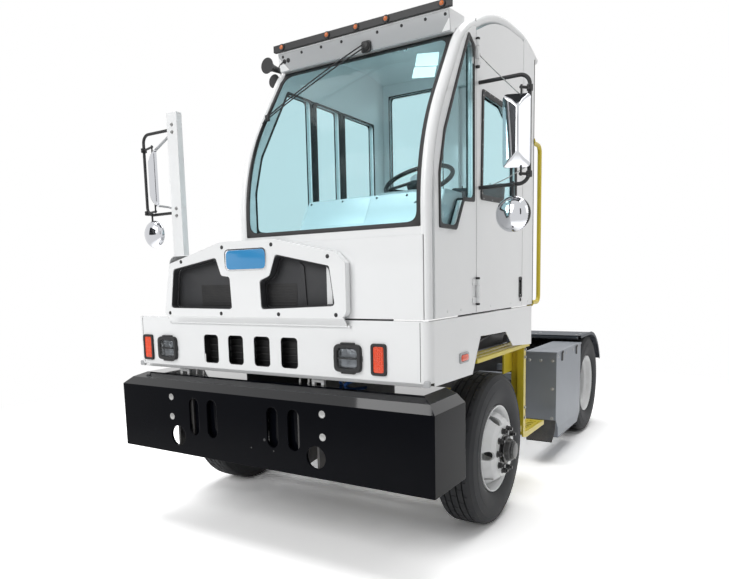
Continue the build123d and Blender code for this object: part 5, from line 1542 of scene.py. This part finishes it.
# ---- sides
@dataclass
class Sides:
    """Door fittings, steps, battery box, fuel tank, fenders and the exhaust's fittings."""

    left_x: float = 1144.0

    def door(self) -> None:
        """Black hinge caps, the handle's escutcheon and its lock, and the door's rubber seal."""
        trim = Shape()
        for z in (1620, 2985):
            for end in (1, -1):
                trim.rod(at(1156, 750, z + end * 70), at(1156, 750, z + end * 84), 0.0125, bevel=0.003)
        trim.finish("hinge_caps", BLACK_TRIM, Body.CAB)
        handle = Shape().trim(rectangle(1600, 1625, 44, 130), facing_side(self.left_x), (9, 1), 5, (12, 8))
        handle.dome(at(1146, 1600, 1536), LEFT, 0.013, 0.005)
        handle.finish("handle_surround", BLACK_TRIM, Body.LEFT_DOOR)
        seam = Shape()
        seam.box(at(1139, 757.6, 1496), at(1142.5, 759.8, 3180))
        seam.box(at(1139, 1637.4, 1496), at(1142.5, 1639.4, 3250))
        seam.finish("door_seal", RUBBER, Body.LEFT_DOOR)
        strip = Shape()
        for x in (1139, -146.5):
            strip.box(at(x, 1890, 1495), at(x + 6.5, 1902.5, 3260), 0.002)
        strip.finish("cab_rear_strips", RUBBER, Body.CAB)
        sills = Shape()
        for s in (330, 520, 1000, 1400, 1780):
            sills.dome(at(1144, s, 1520), LEFT, 0.007, 0.003)
        sills.finish("cab_side_screws", WHITE, Body.CAB)

    def steps(self) -> None:
        """Raised teeth along the treads and bolts on the step brackets."""
        teeth = Shape()
        for x0, x1, s0, s1, z in ((1004, 1134, 800, 1856, 1200), (894, 1094, 1912, 2362, 486)):
            for s in range(s0 + 8, s0 + 8 + 15 * ((s1 - s0) // 15), 15):
                for x in (x0 + 3, x1 - 3, (x0 + x1) / 2):
                    teeth.rod(at(x, s, z - 1), at(x, s, z + 5), 0.0045, 6, 0.0018)
        teeth.finish("step_teeth", YELLOW)
        bolts = Shape()
        for z in (1150, 1090, 700, 620):
            bolts.nut(at(1110, 1835, z), LEFT, 0.017, 0.009, 0.014)
        for z in (755, 782):
            for x in (360, 420):
                bolts.nut(at(x, 1848, z), FORWARD, 0.017, 0.009, 0.014)
        bolts.finish("step_bolts", ZINC)
        grip = Shape()
        for z in (1500, 2690):
            grip.lathe([(0, 0.014), (0, 0.03), (0.005, 0.03), (0.008, 0.024), (0.008, 0.014)], at(1124, 1900, z),
                       REARWARD, 28)
        grip.finish("handrail_flanges", YELLOW, Body.CAB)

    def battery_box(self) -> None:
        """Bolts, ribs on the lid, latches and the black lower panel of the box."""
        bolts = Shape()
        for x, z in ((1090, 950), (1090, 698), (1090, 430), (885, 950), (985, 950)):
            bolts.dome(at(x, 2709, z), FORWARD, 0.011, 0.006, 0.016)
        for s in (2760, 3050, 3320, 3590):
            bolts.dome(at(1124, s, 985), LEFT, 0.009, 0.005, 0.013)
        bolts.finish("box_bolts", ZINC)
        black = Shape()
        black.rings([[at(x, s, z) for x, s, z in ((854, 2894, 222), (1096, 2894, 222), (1121, 2799, 332),
                                                  (1121, 2716, 431), (854, 2716, 431))],
                     [at(x, s, z) for x, s, z in ((854, 2887, 214), (1098, 2887, 214), (1123.4, 2796, 326),
                                                  (1123.4, 2710, 424), (854, 2710, 424))]])
        black.slab([(856, 205), (1090, 205), (1118, 330), (1118, 428), (856, 428)], facing_front(2716), -8, 0, 4)
        black.finish("box_lower_panel", CHEQUER)
        latch = Shape()
        for s in (2900, 3440):
            latch.slab(rectangle(s, 975, 34, 86), facing_side(1124), 0, 9, 6)
            latch.slab(rectangle(s, 1012, 28, 22), facing_side(1130), 0, 8, 6)
        latch.finish("box_latches", SATIN_BLACK)
        ribs = Shape()
        for i in range(9):
            ribs.box(at(880, 2760 + i * 102, 1028), at(1100, 2766 + i * 102, 1029.4), 0.0005)
        ribs.finish("box_lid_ribs", ALUMINIUM)

    def tank(self) -> None:
        """Fuel cap, weld beads and strap bolts."""
        turn = Matrix.Translation(Vector(at(-1150, 2480, 640))) @ Matrix.Rotation(math.radians(-30), 4, "Y")
        knob = Shape().lathe([(0.316, 0), (0.316, 0.06), (0.322, 0.062), (0.344, 0.062), (0.35, 0.056), (0.352, 0)],
                             (0, 0, 0), UP, 40)
        for i in range(20):
            u, v = polar(0.061, 18 * i)
            knob.box((u - 0.002, v - 0.002, 0.322), (u + 0.002, v + 0.002, 0.344))
        knob.moved(turn)
        knob.finish("fuel_cap", BLACK_TRIM)
        beads = Shape()
        for s in (2274, 3476):
            beads.lathe([(-0.004, 0.299), (0, 0.3022), (0.004, 0.299)], at(-1000, s, 640), REARWARD, 72, closed=False)
        beads.finish("tank_welds", TANK)
        bolts = Shape()
        for s, z in ((2490, 700), (2490, 726), (3260, 700), (3260, 726)):
            bolts.nut(at(-700, s, z), (-1, 0, 0), 0.019, 0.012, 0.016)
        bolts.finish("strap_bolts", ZINC)

    def exhaust(self) -> None:
        """Clamp bolts of the muffler."""
        shape = Shape()
        for x, s in ((-658, 2031), (-658, 2059), (-1009, 2031), (-1009, 2059)):
            shape.nut(at(x, s, 764), UP, 0.014, 0.012)
        shape.finish("muffler_bolts", ZINC)

    def fenders(self) -> None:
        """Rolled rim and bolts on the plastic fenders over the duals, and splash edges inside the front arches."""
        rims, bolts = Shape(), Shape()
        for x, sign in ((1104, 1), (-1316, -1)):
            arc = [(4184 + v, 524 + u) for u, v in (polar(557, a) for a in range(0, 68, 6))]
            rims.pipe([at(x - sign * 4, s, z) for s, z in [(3735, 1081), *arc]], 0.0065)
            for s in (3790, 3960, 4140):
                for inward in (60, 480):
                    bolts.dome(at(x - sign * inward, s, 1084), UP, 0.01, 0.005, 0.015)
        rims.finish("fender_rims", FENDER)
        bolts.finish("fender_bolts", ZINC)
        edges = Shape()
        for x, sign in ((1144, 1), (-1159, -1)):
            path = [at(x - sign * 3, s, z) for s, z in ((690, 1122), (757, 1233), (824, 1344), (1062, 1339),
                                                        (1300, 1334),
                                                        (1376, 1278), (1452, 1222), (1666, 1207), (1876, 1192))]
            edges.pipe(path, 0.005)
        edges.finish("arch_edges", WHITE)
        catches = Shape()
        for s in (420, 1500):
            catches.slab(rectangle(s, 1496, 26, 62), facing_side(-806, -1), 0, 8, 5)
            catches.rod(at(-816, s, 1476), at(-816, s, 1530), 0.006, bevel=0.001)
        catches.finish("hood_catches", BLACK_TRIM)

    def build(self) -> None:
        """Build every piece of the zone."""
        self.door()
        self.steps()
        self.battery_box()
        self.tank()
        self.exhaust()
        self.fenders()


# ---- interior
@dataclass
class Interior:
    """Padded seat, dashboard panel, instruments, pedals and switches inside the cab."""

    seat_x: float = 792.0
    voxel: float = 0.011
    pressure: float = 4.0
    frames: int = 20
    swell_limit: float = 0.012

    @staticmethod
    def apply(piece: Object) -> None:
        """Make the result of a piece's modifiers its own mesh."""
        graph = bpy.context.evaluated_depsgraph_get()
        piece.data = bpy.data.meshes.new_from_object(piece.evaluated_get(graph), depsgraph=graph)
        piece.modifiers.clear()

    def inflate(self, piece: Object) -> None:
        """Blow up a pad with a cloth simulation, each point within the swell limit.

        Args:
            piece: the pad, whose points are moved.
        """
        start = [v.co.copy() for v in piece.data.vertices]
        cloth = piece.modifiers.new("cloth", "CLOTH")
        cloth.settings.use_pressure = True
        cloth.settings.uniform_pressure_force = self.pressure
        cloth.settings.quality = 5
        cloth.settings.effector_weights.gravity = 0
        cloth.point_cache.frame_start, cloth.point_cache.frame_end = 1, self.frames
        for frame in range(1, self.frames + 1):
            bpy.context.scene.frame_set(frame)
        blown = piece.evaluated_get(bpy.context.evaluated_depsgraph_get())
        ends = [v.co.copy() for v in blown.to_mesh().vertices]
        blown.to_mesh_clear()
        piece.modifiers.clear()
        for vertex, a, b in zip(piece.data.vertices, start, ends):
            step = b - a
            vertex.co = a + (step * (self.swell_limit / step.length) if step.length > self.swell_limit else step)
        bpy.context.scene.frame_set(1)

    def swell(self, shape: Shape, name: str) -> None:
        """Turn a pad's form into a padded piece.

        Args:
            shape: the pad's form, a little smaller than the finished pad.
            name: name of the piece.
        """
        piece = shape.finish(name, SEAT_CLOTH, Body.CAB, smooth_angle=80)
        remesh = piece.modifiers.new("remesh", "REMESH")
        remesh.mode, remesh.voxel_size = "VOXEL", self.voxel
        self.apply(piece)
        self.inflate(piece)
        smooth = bmesh.new()
        smooth.from_mesh(piece.data)
        for _ in range(3):
            bmesh.ops.smooth_vert(smooth, verts=smooth.verts, factor=0.5, use_axis_x=True, use_axis_y=True,
                                  use_axis_z=True)
        for face in smooth.faces:
            face.smooth = True
        smooth.to_mesh(piece.data)
        smooth.free()
        if not piece.data.materials:
            piece.data.materials.append(Shape.shop.get(SEAT_CLOTH))
        rounder = piece.modifiers.new("rounder", "SUBSURF")
        rounder.levels = rounder.render_levels = 1

    def pad(self, corners: Sequence[Flat], half: float) -> Shape:
        """Form of one pad: a rounded side outline carried across the seat.

        Args:
            corners: (station, height) outline in millimetres.
            half: half of its width in millimetres.

        Returns:
            The shape.
        """
        outline = rounded(corners, 26, steps=4)
        sides = ((-1, 22), (-0.985, 9), (-0.93, 1), (-0.5, 0), (0, 0), (0.5, 0), (0.93, 1), (0.985, 9), (1, 22))
        return Shape().rings([[at(self.seat_x + share * half, s, z) for s, z in grown(outline, -inset)]
                              for share, inset in sides])

    def seat(self) -> None:
        """Driver's seat: suspension base, cushion, back, piping and belt, in place of the plain one."""
        base, x = Shape(), self.seat_x
        base.slab(rectangle(x, 1390, 340, 340), facing_up(1530), 0, 26, 20, 3)
        for k in range(5):
            z, w = 1560 + k * 58, 318 - (k % 2) * 26
            base.slab(rectangle(x, 1390, w, w * 0.94), facing_up(z), 0, 52, 30, 14)
        base.slab(rectangle(x, 1385, 390, 400), facing_up(1846), 0, 34, 24, 4)
        for side in (-1, 1):
            base.box(at(x + side * 205 - 16, 1250, 1880), at(x + side * 205 + 16, 1600, 1944), 0.008)
            base.lathe([(0, 0), (0, 0.034), (0.014, 0.034), (0.022, 0.026), (0.024, 0)],
                       at(x + side * 232, 1590, 1990),
                       (side, 0, 0), 28)
        base.slab(rectangle(x, 1395, 420, 430), facing_up(1930), 0, 18, 24, 3)
        body = base.finish("seat_base", BLACK_TRIM, Body.CAB)
        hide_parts("driver_seat")
        for name, corners, half in (
                ("seat_cushion", [(1148, 1972), (1600, 1962), (1606, 2020), (1420, 2042), (1210, 2060), (1150, 2042)],
                 228),
                ("seat_back", [(1578, 2046), (1650, 2036), (1712, 2366), (1644, 2388), (1622, 2300), (1596, 2160)],
                 218)):
            self.swell(self.pad(corners, half), name)
        piping = Shape()
        for side in (-1, 1):
            for off, radius, path in ((218, 0.0045, [(1148, 2049), (1210, 2067), (1420, 2049), (1606, 2027)]),
                                      (112, 0.0035, [(1160, 2062), (1215, 2072), (1420, 2054), (1580, 2038)]),
                                      (108, 0.0035, [(1584, 2080), (1600, 2180), (1620, 2290), (1642, 2380)])):
                piping.pipe([at(x + side * off, s, z) for s, z in path], radius, smooth=True)
        piping.finish("seat_piping", BELT, Body.CAB)
        belt = Shape()
        belt.rings([[at(x + u, s + d, z + d) for u, d in ((right, 0), (left, 0), (left, 4), (right, 4))]
                    for right, left, s, z in ((-236, -216, 1592, 1968), (-246, -200, 1640, 2080),
                                              (-250, -204, 1702, 2330))])
        belt.finish("seat_belt", BELT, Body.CAB)

    def dashboard(self) -> None:
        """Bright front panel with black screws, the instrument hood, gauges and switches."""
        up = Vector((0, 130, 219)).normalized()
        out = Vector((0, -up.z, up.y))

        def place(u: float, v: float, h: float) -> Point:
            """Point on the dashboard's sloping front face."""
            p = Vector((u, 300, 1976)) + up * v + out * h
            return at(p.x, p.y, p.z)

        panel = Shape().slab([(164, 20), (1086, 20), (1086, 250), (164, 250)], place, 0.5, 3.5, 14, 0.8)
        panel.slab([(300, 60), (620, 60), (620, 236), (300, 236)], place, 3.5, 5, 10, 0.5)
        panel.finish("dash_front_panel", DASH_PANEL, Body.CAB)
        screws = Shape()
        for u in (186, 420, 660, 860, 1064):
            for v in (36, 232):
                screws.dome(place(u, v, 3.5), out, 0.0075, 0.004)
        screws.finish("dash_screws", BLACK_TRIM, Body.CAB)
        pod = Shape().rings([[at(u, s, 2195 + v) for u, v in rounded([(560, 0), (968, 0), (948, h), (580, h)], 12)]
                             for s, h in ((540, 14), (580, 34), (640, 44), (652, 40))])
        pod.finish("instrument_pod", DASH, Body.CAB)
        rims, dials = Shape(), Shape()
        for u in (650, 764, 878):
            rims.lathe([(0, 0.034), (0, 0.044), (0.006, 0.044), (0.01, 0.04), (0.01, 0.034)], at(u, 660, 2120),
                       REARWARD, 32)
            dials.lathe([(0, 0), (0, 0.035), (0.003, 0.035), (0.003, 0)], at(u, 660, 2120), REARWARD, 32)
        rims.finish("gauge_rims", REFLECTOR, Body.CAB, "mirror_metal")
        dials.finish("gauge_faces", BLACK_TRIM, Body.CAB)
        switches = Shape()
        for i in range(7):
            switches.slab(rectangle(250 + i * 46, 2120, 28, 48), facing_rear(660), 0, 7, 4, 2)
        for i in range(4):
            switches.lathe([(0, 0), (0, 0.014), (0.016, 0.012), (0.018, 0)], at(270 + i * 62, 660, 2040), REARWARD, 20)
        switches.finish("dash_switches", BLACK_TRIM, Body.CAB)
        lever = Shape()
        lever.rod(at(716, 700, 2240), at(590, 716, 2262), 0.006, 12)
        lever.rod(at(812, 700, 2240), at(920, 716, 2258), 0.006, 12)
        lever.ball(at(590, 716, 2262), 0.01, segments=12)
        lever.ball(at(920, 716, 2258), 0.01, segments=12)
        lever.lathe([(-0.05, 0.04), (0.05, 0.04), (0.06, 0.034), (0.06, 0), (-0.05, 0)], at(764, 706, 2236),
                    (0, -0.53, 0.85), 28)
        lever.finish("column_switches", BLACK_TRIM, Body.CAB)

    def fittings(self) -> None:
        """Tubular arm beside the dashboard, pedals, shift console and a floor mat."""
        arm = Shape()
        arm.pipe([at(1076, 430, 2120), at(1060, 420, 2135), at(960, 400, 2140), at(872, 392, 2100),
                  at(800, 385, 2030)], 0.013, smooth=True)
        arm.finish("dash_grab_bar", BLACK_TRIM, Body.CAB)
        pedals = Shape()
        for u, w in ((700, 60), (850, 50)):
            pedals.slab(rectangle(u, 1668, w, 90), facing_rear(610), 0, 12, 8, 3)
            pedals.rod(at(u, 600, 1700), at(u, 470, 1820), 0.01, 12)
        pedals.finish("pedals", BLACK_TRIM, Body.CAB)
        console = Shape()
        console.slab(rectangle(300, 1180, 170, 460), facing_up(1970), 0, 90, 26, 10)
        for i in range(3):
            console.lathe([(0, 0), (0, 0.019), (0.01, 0.017), (0.012, 0)], at(270 + i * 30, 1060, 2060), UP, 20)
        console.rod(at(300, 1200, 2056), at(300, 1190, 2150), 0.008, 12)
        console.ball(at(300, 1190, 2160), 0.02, (1, 1, 0.9), 16)
        console.finish("side_console", DASH, Body.CAB)
        mat = Shape().slab([(548, 180), (1090, 180), (1090, 1850), (548, 1850)], facing_up(1530), 0.2, 5, 30, 2)
        for i in range(18):
            mat.box(at(570, 700 + i * 26, 1534.5), at(1070, 708 + i * 26, 1537), 0.0008)
        mat.finish("floor_mat", RUBBER, Body.CAB)
        spokes = Shape()
        centre = Matrix.Translation(Vector(at(764, 760, 2310))) @ Matrix.Rotation(math.radians(32), 4, "X")
        spokes.lathe([(0.012, 0), (0.012, 0.05), (0.022, 0.05), (0.03, 0.04), (0.032, 0)], (0, 0, 0), UP, 36)
        spokes.moved(centre)
        spokes.finish("wheel_horn_pad", DASH, Body.CAB)

    def build(self) -> None:
        """Build every piece of the zone."""
        self.seat()
        self.dashboard()
        self.fittings()


# ---- rear
@dataclass
class Rear:
    """Deck pattern, frame bolts, tail lamps, fifth wheel fittings and the rear door's hardware."""

    cx: float = -106.0

    def deck(self) -> None:
        """Raised bars of the chequer plate and its screws."""
        bars = Shape()
        for i in range(26):
            for k in range(14):
                x, s = -520 + i * 32.5, 1972 + k * 32.5
                lean = 1 if (i + k) % 2 else -1
                bars.rings([[at(x + 9 * t * lean - 2 * c, s + 9 * t + 2 * c * lean, z)
                             for t, c in ((-1, 0), (-0.5, 1), (0.5, 1), (1, 0), (0.5, -1), (-0.5, -1))]
                            for z in (972, 973.6)])
        bars.finish("deck_pattern", CHEQUER)
        bolts = Shape()
        for s in (420, 700, 1420, 2500, 2640, 3700, 3800, 4560, 4700, 5060):
            for z, sign in itertools.product((926, 846, 766), (1, -1)):
                if not (2200 < s < 3640 and sign > 0 and z > 900):
                    bolts.nut(at(self.cx + sign * 432, s, z), (sign, 0, 0), 0.02, 0.01, 0.016)
        bolts.finish("frame_bolts", SATIN_BLACK)

    def lamps(self) -> None:
        """Round red tail lamps in rubber rings on the tail bar."""
        rims, lenses = Shape(), Shape()
        for sign in (1, -1):
            for x in (250, 360):
                spot = at(self.cx + sign * x, 5138, 838)
                rims.lathe([(-0.01, 0.046), (-0.01, 0.056), (0.006, 0.056), (0.01, 0.052), (0.01, 0.046)], spot,
                           REARWARD, 32)
                lenses.lathe([(-0.01, 0), (-0.01, 0.047), (0.004, 0.047), (0.009, 0.04), (0.0115, 0)], spot,
                             REARWARD, 32)
        rims.finish("tail_lamp_rims", RUBBER)
        lenses.finish("tail_lamp_lenses", RED)

    def coupling(self) -> None:
        """Grease grooves, pins and the release handle of the fifth wheel."""
        pins = Shape()
        for sign in (1, -1):
            x = self.cx + sign * 331
            pins.lathe([(0, 0), (0, 0.046), (0.008, 0.046), (0.012, 0.04), (0.012, 0)], at(x, 4064, 1092),
                       (sign, 0, 0), 32)
            pins.nut(at(x + sign * 11, 4064, 1092), (sign, 0, 0), 0.04, 0.018)
        pins.finish("trunnion_caps", ZINC, Body.BOOM)
        handle = Shape()
        for path in (((40, 3990, 1150), (300, 3980, 1148), (430, 3976, 1146)),
                     ((430, 3976, 1146), (446, 3962, 1146), (446, 3926, 1146), (430, 3912, 1146))):
            handle.pipe([at(self.cx + x, s, z) for x, s, z in path], 0.008)
        handle.finish("release_handle", ZINC, Body.FIFTH_WHEEL)
        grooves = Shape()
        for sign in (1, -1):
            turns = [polar(1, 7.5 * k) for k in range(25)]
            grooves.pipe([at(self.cx + sign * (150 + 190 * v), 3960 + 250 * u, 1210.1) for u, v in turns], 0.0022,
                         sides=6)
        grooves.finish("grease_grooves", DARK_DUCT, Body.FIFTH_WHEEL)

    def door(self) -> None:
        """Track and handle of the sliding rear door."""
        track = Shape()
        track.box(at(-60, 1902, 3186), at(1090, 1936, 3212), 0.003)
        track.box(at(-60, 1902, 1512), at(1090, 1930, 1532), 0.003)
        track.finish("rear_door_track", ZINC, Body.CAB)
        bar = [at(600, s, z) for s, z in ((1936, 2000), (1972, 1990), (1972, 1850), (1936, 1840))]
        Shape().pipe(bar, 0.009).finish("rear_door_handle", BLACK_TRIM, Body.REAR_DOOR)

    def build(self) -> None:
        """Build every piece of the zone."""
        self.deck()
        self.lamps()
        self.coupling()
        self.door()


# ---- studio
@dataclass
class Studio:
    """Camera, floor, lamps and the dark cards that bright metal mirrors."""

    camera_at: Point = (2.5412, -5.3751, 1.708)
    yaw: float = 0.5596
    pitch: float = -0.1191
    roll: float = -0.0228
    lens: float = 30.615
    shift: tuple[float, float] = (0.00466, 0.0875)
    floor_seen: float = 1.7
    world_light: float = 0.25
    glow_from: float = 3.6
    glow_full: float = 6.5
    cards: tuple[tuple[str, Point, Point, tuple[float, float]], ...] = (
        ("flag_front", (-4.6, -9.4, 4.2), (0.2, -1.8, 2.4), (7.4, 4.4)),
        ("flag_left", (5.6, -9.6, 3.9), (1.3, -1.8, 2.4), (1.1, 4.2)),
        ("flag_above", (0.6, -2.4, 7.6), (0.6, -2.4, 0), (5, 4)))
    lamps: tuple[tuple[str, Point, Point, float, float], ...] = (
        ("above", (0, -0.6, 9.5), (0, -0.2, 0), 9, 800),
        ("key", (-2.6, -10.5, 6.4), (0, -1, 1.6), 6, 560),
        ("side", (9, -2, 5), (0, -0.8, 1.4), 5, 60))

    @staticmethod
    def _link(name: str, data: ID) -> Object:
        """Make an object of its data and put it in the scene."""
        thing = bpy.data.objects.new(name, data)
        bpy.context.scene.collection.objects.link(thing)
        return thing

    def camera(self) -> None:
        """Create the camera."""
        data = bpy.data.cameras.new("camera")
        data.lens = self.lens
        data.sensor_width = 36
        data.shift_x, data.shift_y = self.shift
        data.clip_end = 200
        forward = Vector((-math.sin(self.yaw) * math.cos(self.pitch), math.cos(self.yaw) * math.cos(self.pitch),
                          math.sin(self.pitch)))
        right = Vector((math.cos(self.yaw), math.sin(self.yaw), 0))
        up = right.cross(forward)
        c, s = math.cos(self.roll), math.sin(self.roll)
        right, up = right * c + up * s, up * c - right * s
        turn = Matrix((right, up, -forward)).transposed().to_4x4()
        camera = self._link("camera", data)
        camera.matrix_world = Matrix.Translation(Vector(self.camera_at)) @ turn
        bpy.context.scene.camera = camera

    def lamp(self, name: str, spot: Point, target: Point, size: float, watts: float) -> None:
        """Add one soft square lamp.

        Args:
            name: its name.
            spot: where it stands.
            target: point it faces.
            size: side of the square.
            watts: its power.
        """
        data = bpy.data.lights.new(name, "AREA")
        data.energy, data.shape, data.size = watts, "SQUARE", size
        lamp = self._link(name, data)
        lamp.location = spot
        lamp.rotation_mode = "QUATERNION"
        lamp.rotation_quaternion = (Vector(target) - Vector(spot)).to_track_quat("-Z", "Y")

    @staticmethod
    def seen(graph: Graph) -> NodeSocket:
        """Mask of the rays that see the background: from the camera, off gloss and through glass."""
        path = graph.add("LightPath").outputs
        total = path["Is Camera Ray"]
        for name in ("Is Glossy Ray", "Is Transmission Ray"):
            total = graph.math("MAXIMUM", total, path[name])
        return total

    def world(self) -> None:
        """Plain white surroundings, dimmer as light than as seen."""
        world = bpy.data.worlds.new("studio")
        bpy.context.scene.world = world
        world.use_nodes = True
        graph = Graph(world.node_tree)
        graph.nodes.clear()
        light, white = (graph.add("Background", {"Color": FULL_WHITE, "Strength": strength}).outputs[0]
                        for strength in (self.world_light, 1))
        graph.add("OutputWorld", {"Surface": graph.blend(self.seen(graph), light, white)})

    def sheet(self, name: str, size: float, colour: Colour) -> tuple[Object, BMesh, Graph]:
        """Flat sheet with a dull material of its own, which isn't part of the object.

        Args:
            name: name of the sheet.
            size: half of its side.
            colour: its colour.

        Returns:
            Its object, its bmesh and the graph of its material.
        """
        part = bmesh.new()
        bmesh.ops.create_grid(part, x_segments=1, y_segments=1, size=size)
        sheet = self._link(name, bpy.data.meshes.new(name))
        material = bpy.data.materials.new(name)
        material.use_nodes = True
        graph = Graph(material.node_tree)
        shader = graph.nodes["Principled BSDF"]
        graph.feed(shader.inputs["Base Color"], (*colour, 1))
        graph.feed(shader.inputs["Roughness"], 1)
        sheet.data.materials.append(material)
        return sheet, part, graph

    def floor(self) -> None:
        """White floor that keeps the object's shadow and turns to plain white further off."""
        floor, part, graph = self.sheet("floor", 60, (0.9, 0.9, 0.9))
        part.to_mesh(floor.data)
        part.free()
        shader = graph.nodes["Principled BSDF"]
        graph.feed(shader.inputs["Specular IOR Level"], 0)
        bright = graph.add("BsdfDiffuse", {"Color": (self.floor_seen, self.floor_seen, self.floor_seen, 1)})
        glow = graph.add("Emission", {"Color": FULL_WHITE})
        reach = graph.add("VectorMath", {0: graph.place()}, operation="LENGTH")
        far = graph.add("MapRange", {"From Min": self.glow_from, "From Max": self.glow_full,
                                     "Value": reach.outputs["Value"]}, interpolation_type="SMOOTHSTEP")
        ground = graph.blend(far.outputs["Result"], bright.outputs["BSDF"], glow.outputs["Emission"])
        graph.feed(graph.nodes["Material Output"].inputs["Surface"],
                   graph.blend(self.seen(graph), shader.outputs["BSDF"], ground))

    def card(self, name: str, spot: Point, target: Point, size: tuple[float, float]) -> None:
        """Add a dark card that shows only in gloss.

        Args:
            name: its name.
            spot: its middle.
            target: point it faces.
            size: its width and height.
        """
        card, part, _ = self.sheet(name, 0.5, (0.03, 0.032, 0.036))
        bmesh.ops.scale(part, vec=(*size, 1), verts=part.verts)
        stand(part, spot, Vector(target) - Vector(spot))
        part.to_mesh(card.data)
        part.free()
        card.visible_camera = card.visible_diffuse = card.visible_shadow = card.visible_transmission = False

    def build(self) -> None:
        """Set up everything that isn't the object."""
        bpy.context.scene.view_settings.view_transform = "Standard"
        self.camera()
        self.world()
        self.floor()
        for card in self.cards:
            self.card(*card)
        for lamp in self.lamps:
            self.lamp(*lamp)


def main() -> None:
    """Build the visual model."""
    logging.basicConfig(level=logging.INFO, format="%(message)s")
    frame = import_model()
    Shape.shop = MaterialShop()
    Studio().build()
    dress_frame(frame)
    for zone in (Glazing, FrontFace, Wheels, Mirrors, Sides, Interior, Rear):
        LOG.info("zone %s", zone.__name__)
        zone().build()


if __name__ == "__main__":
    main()
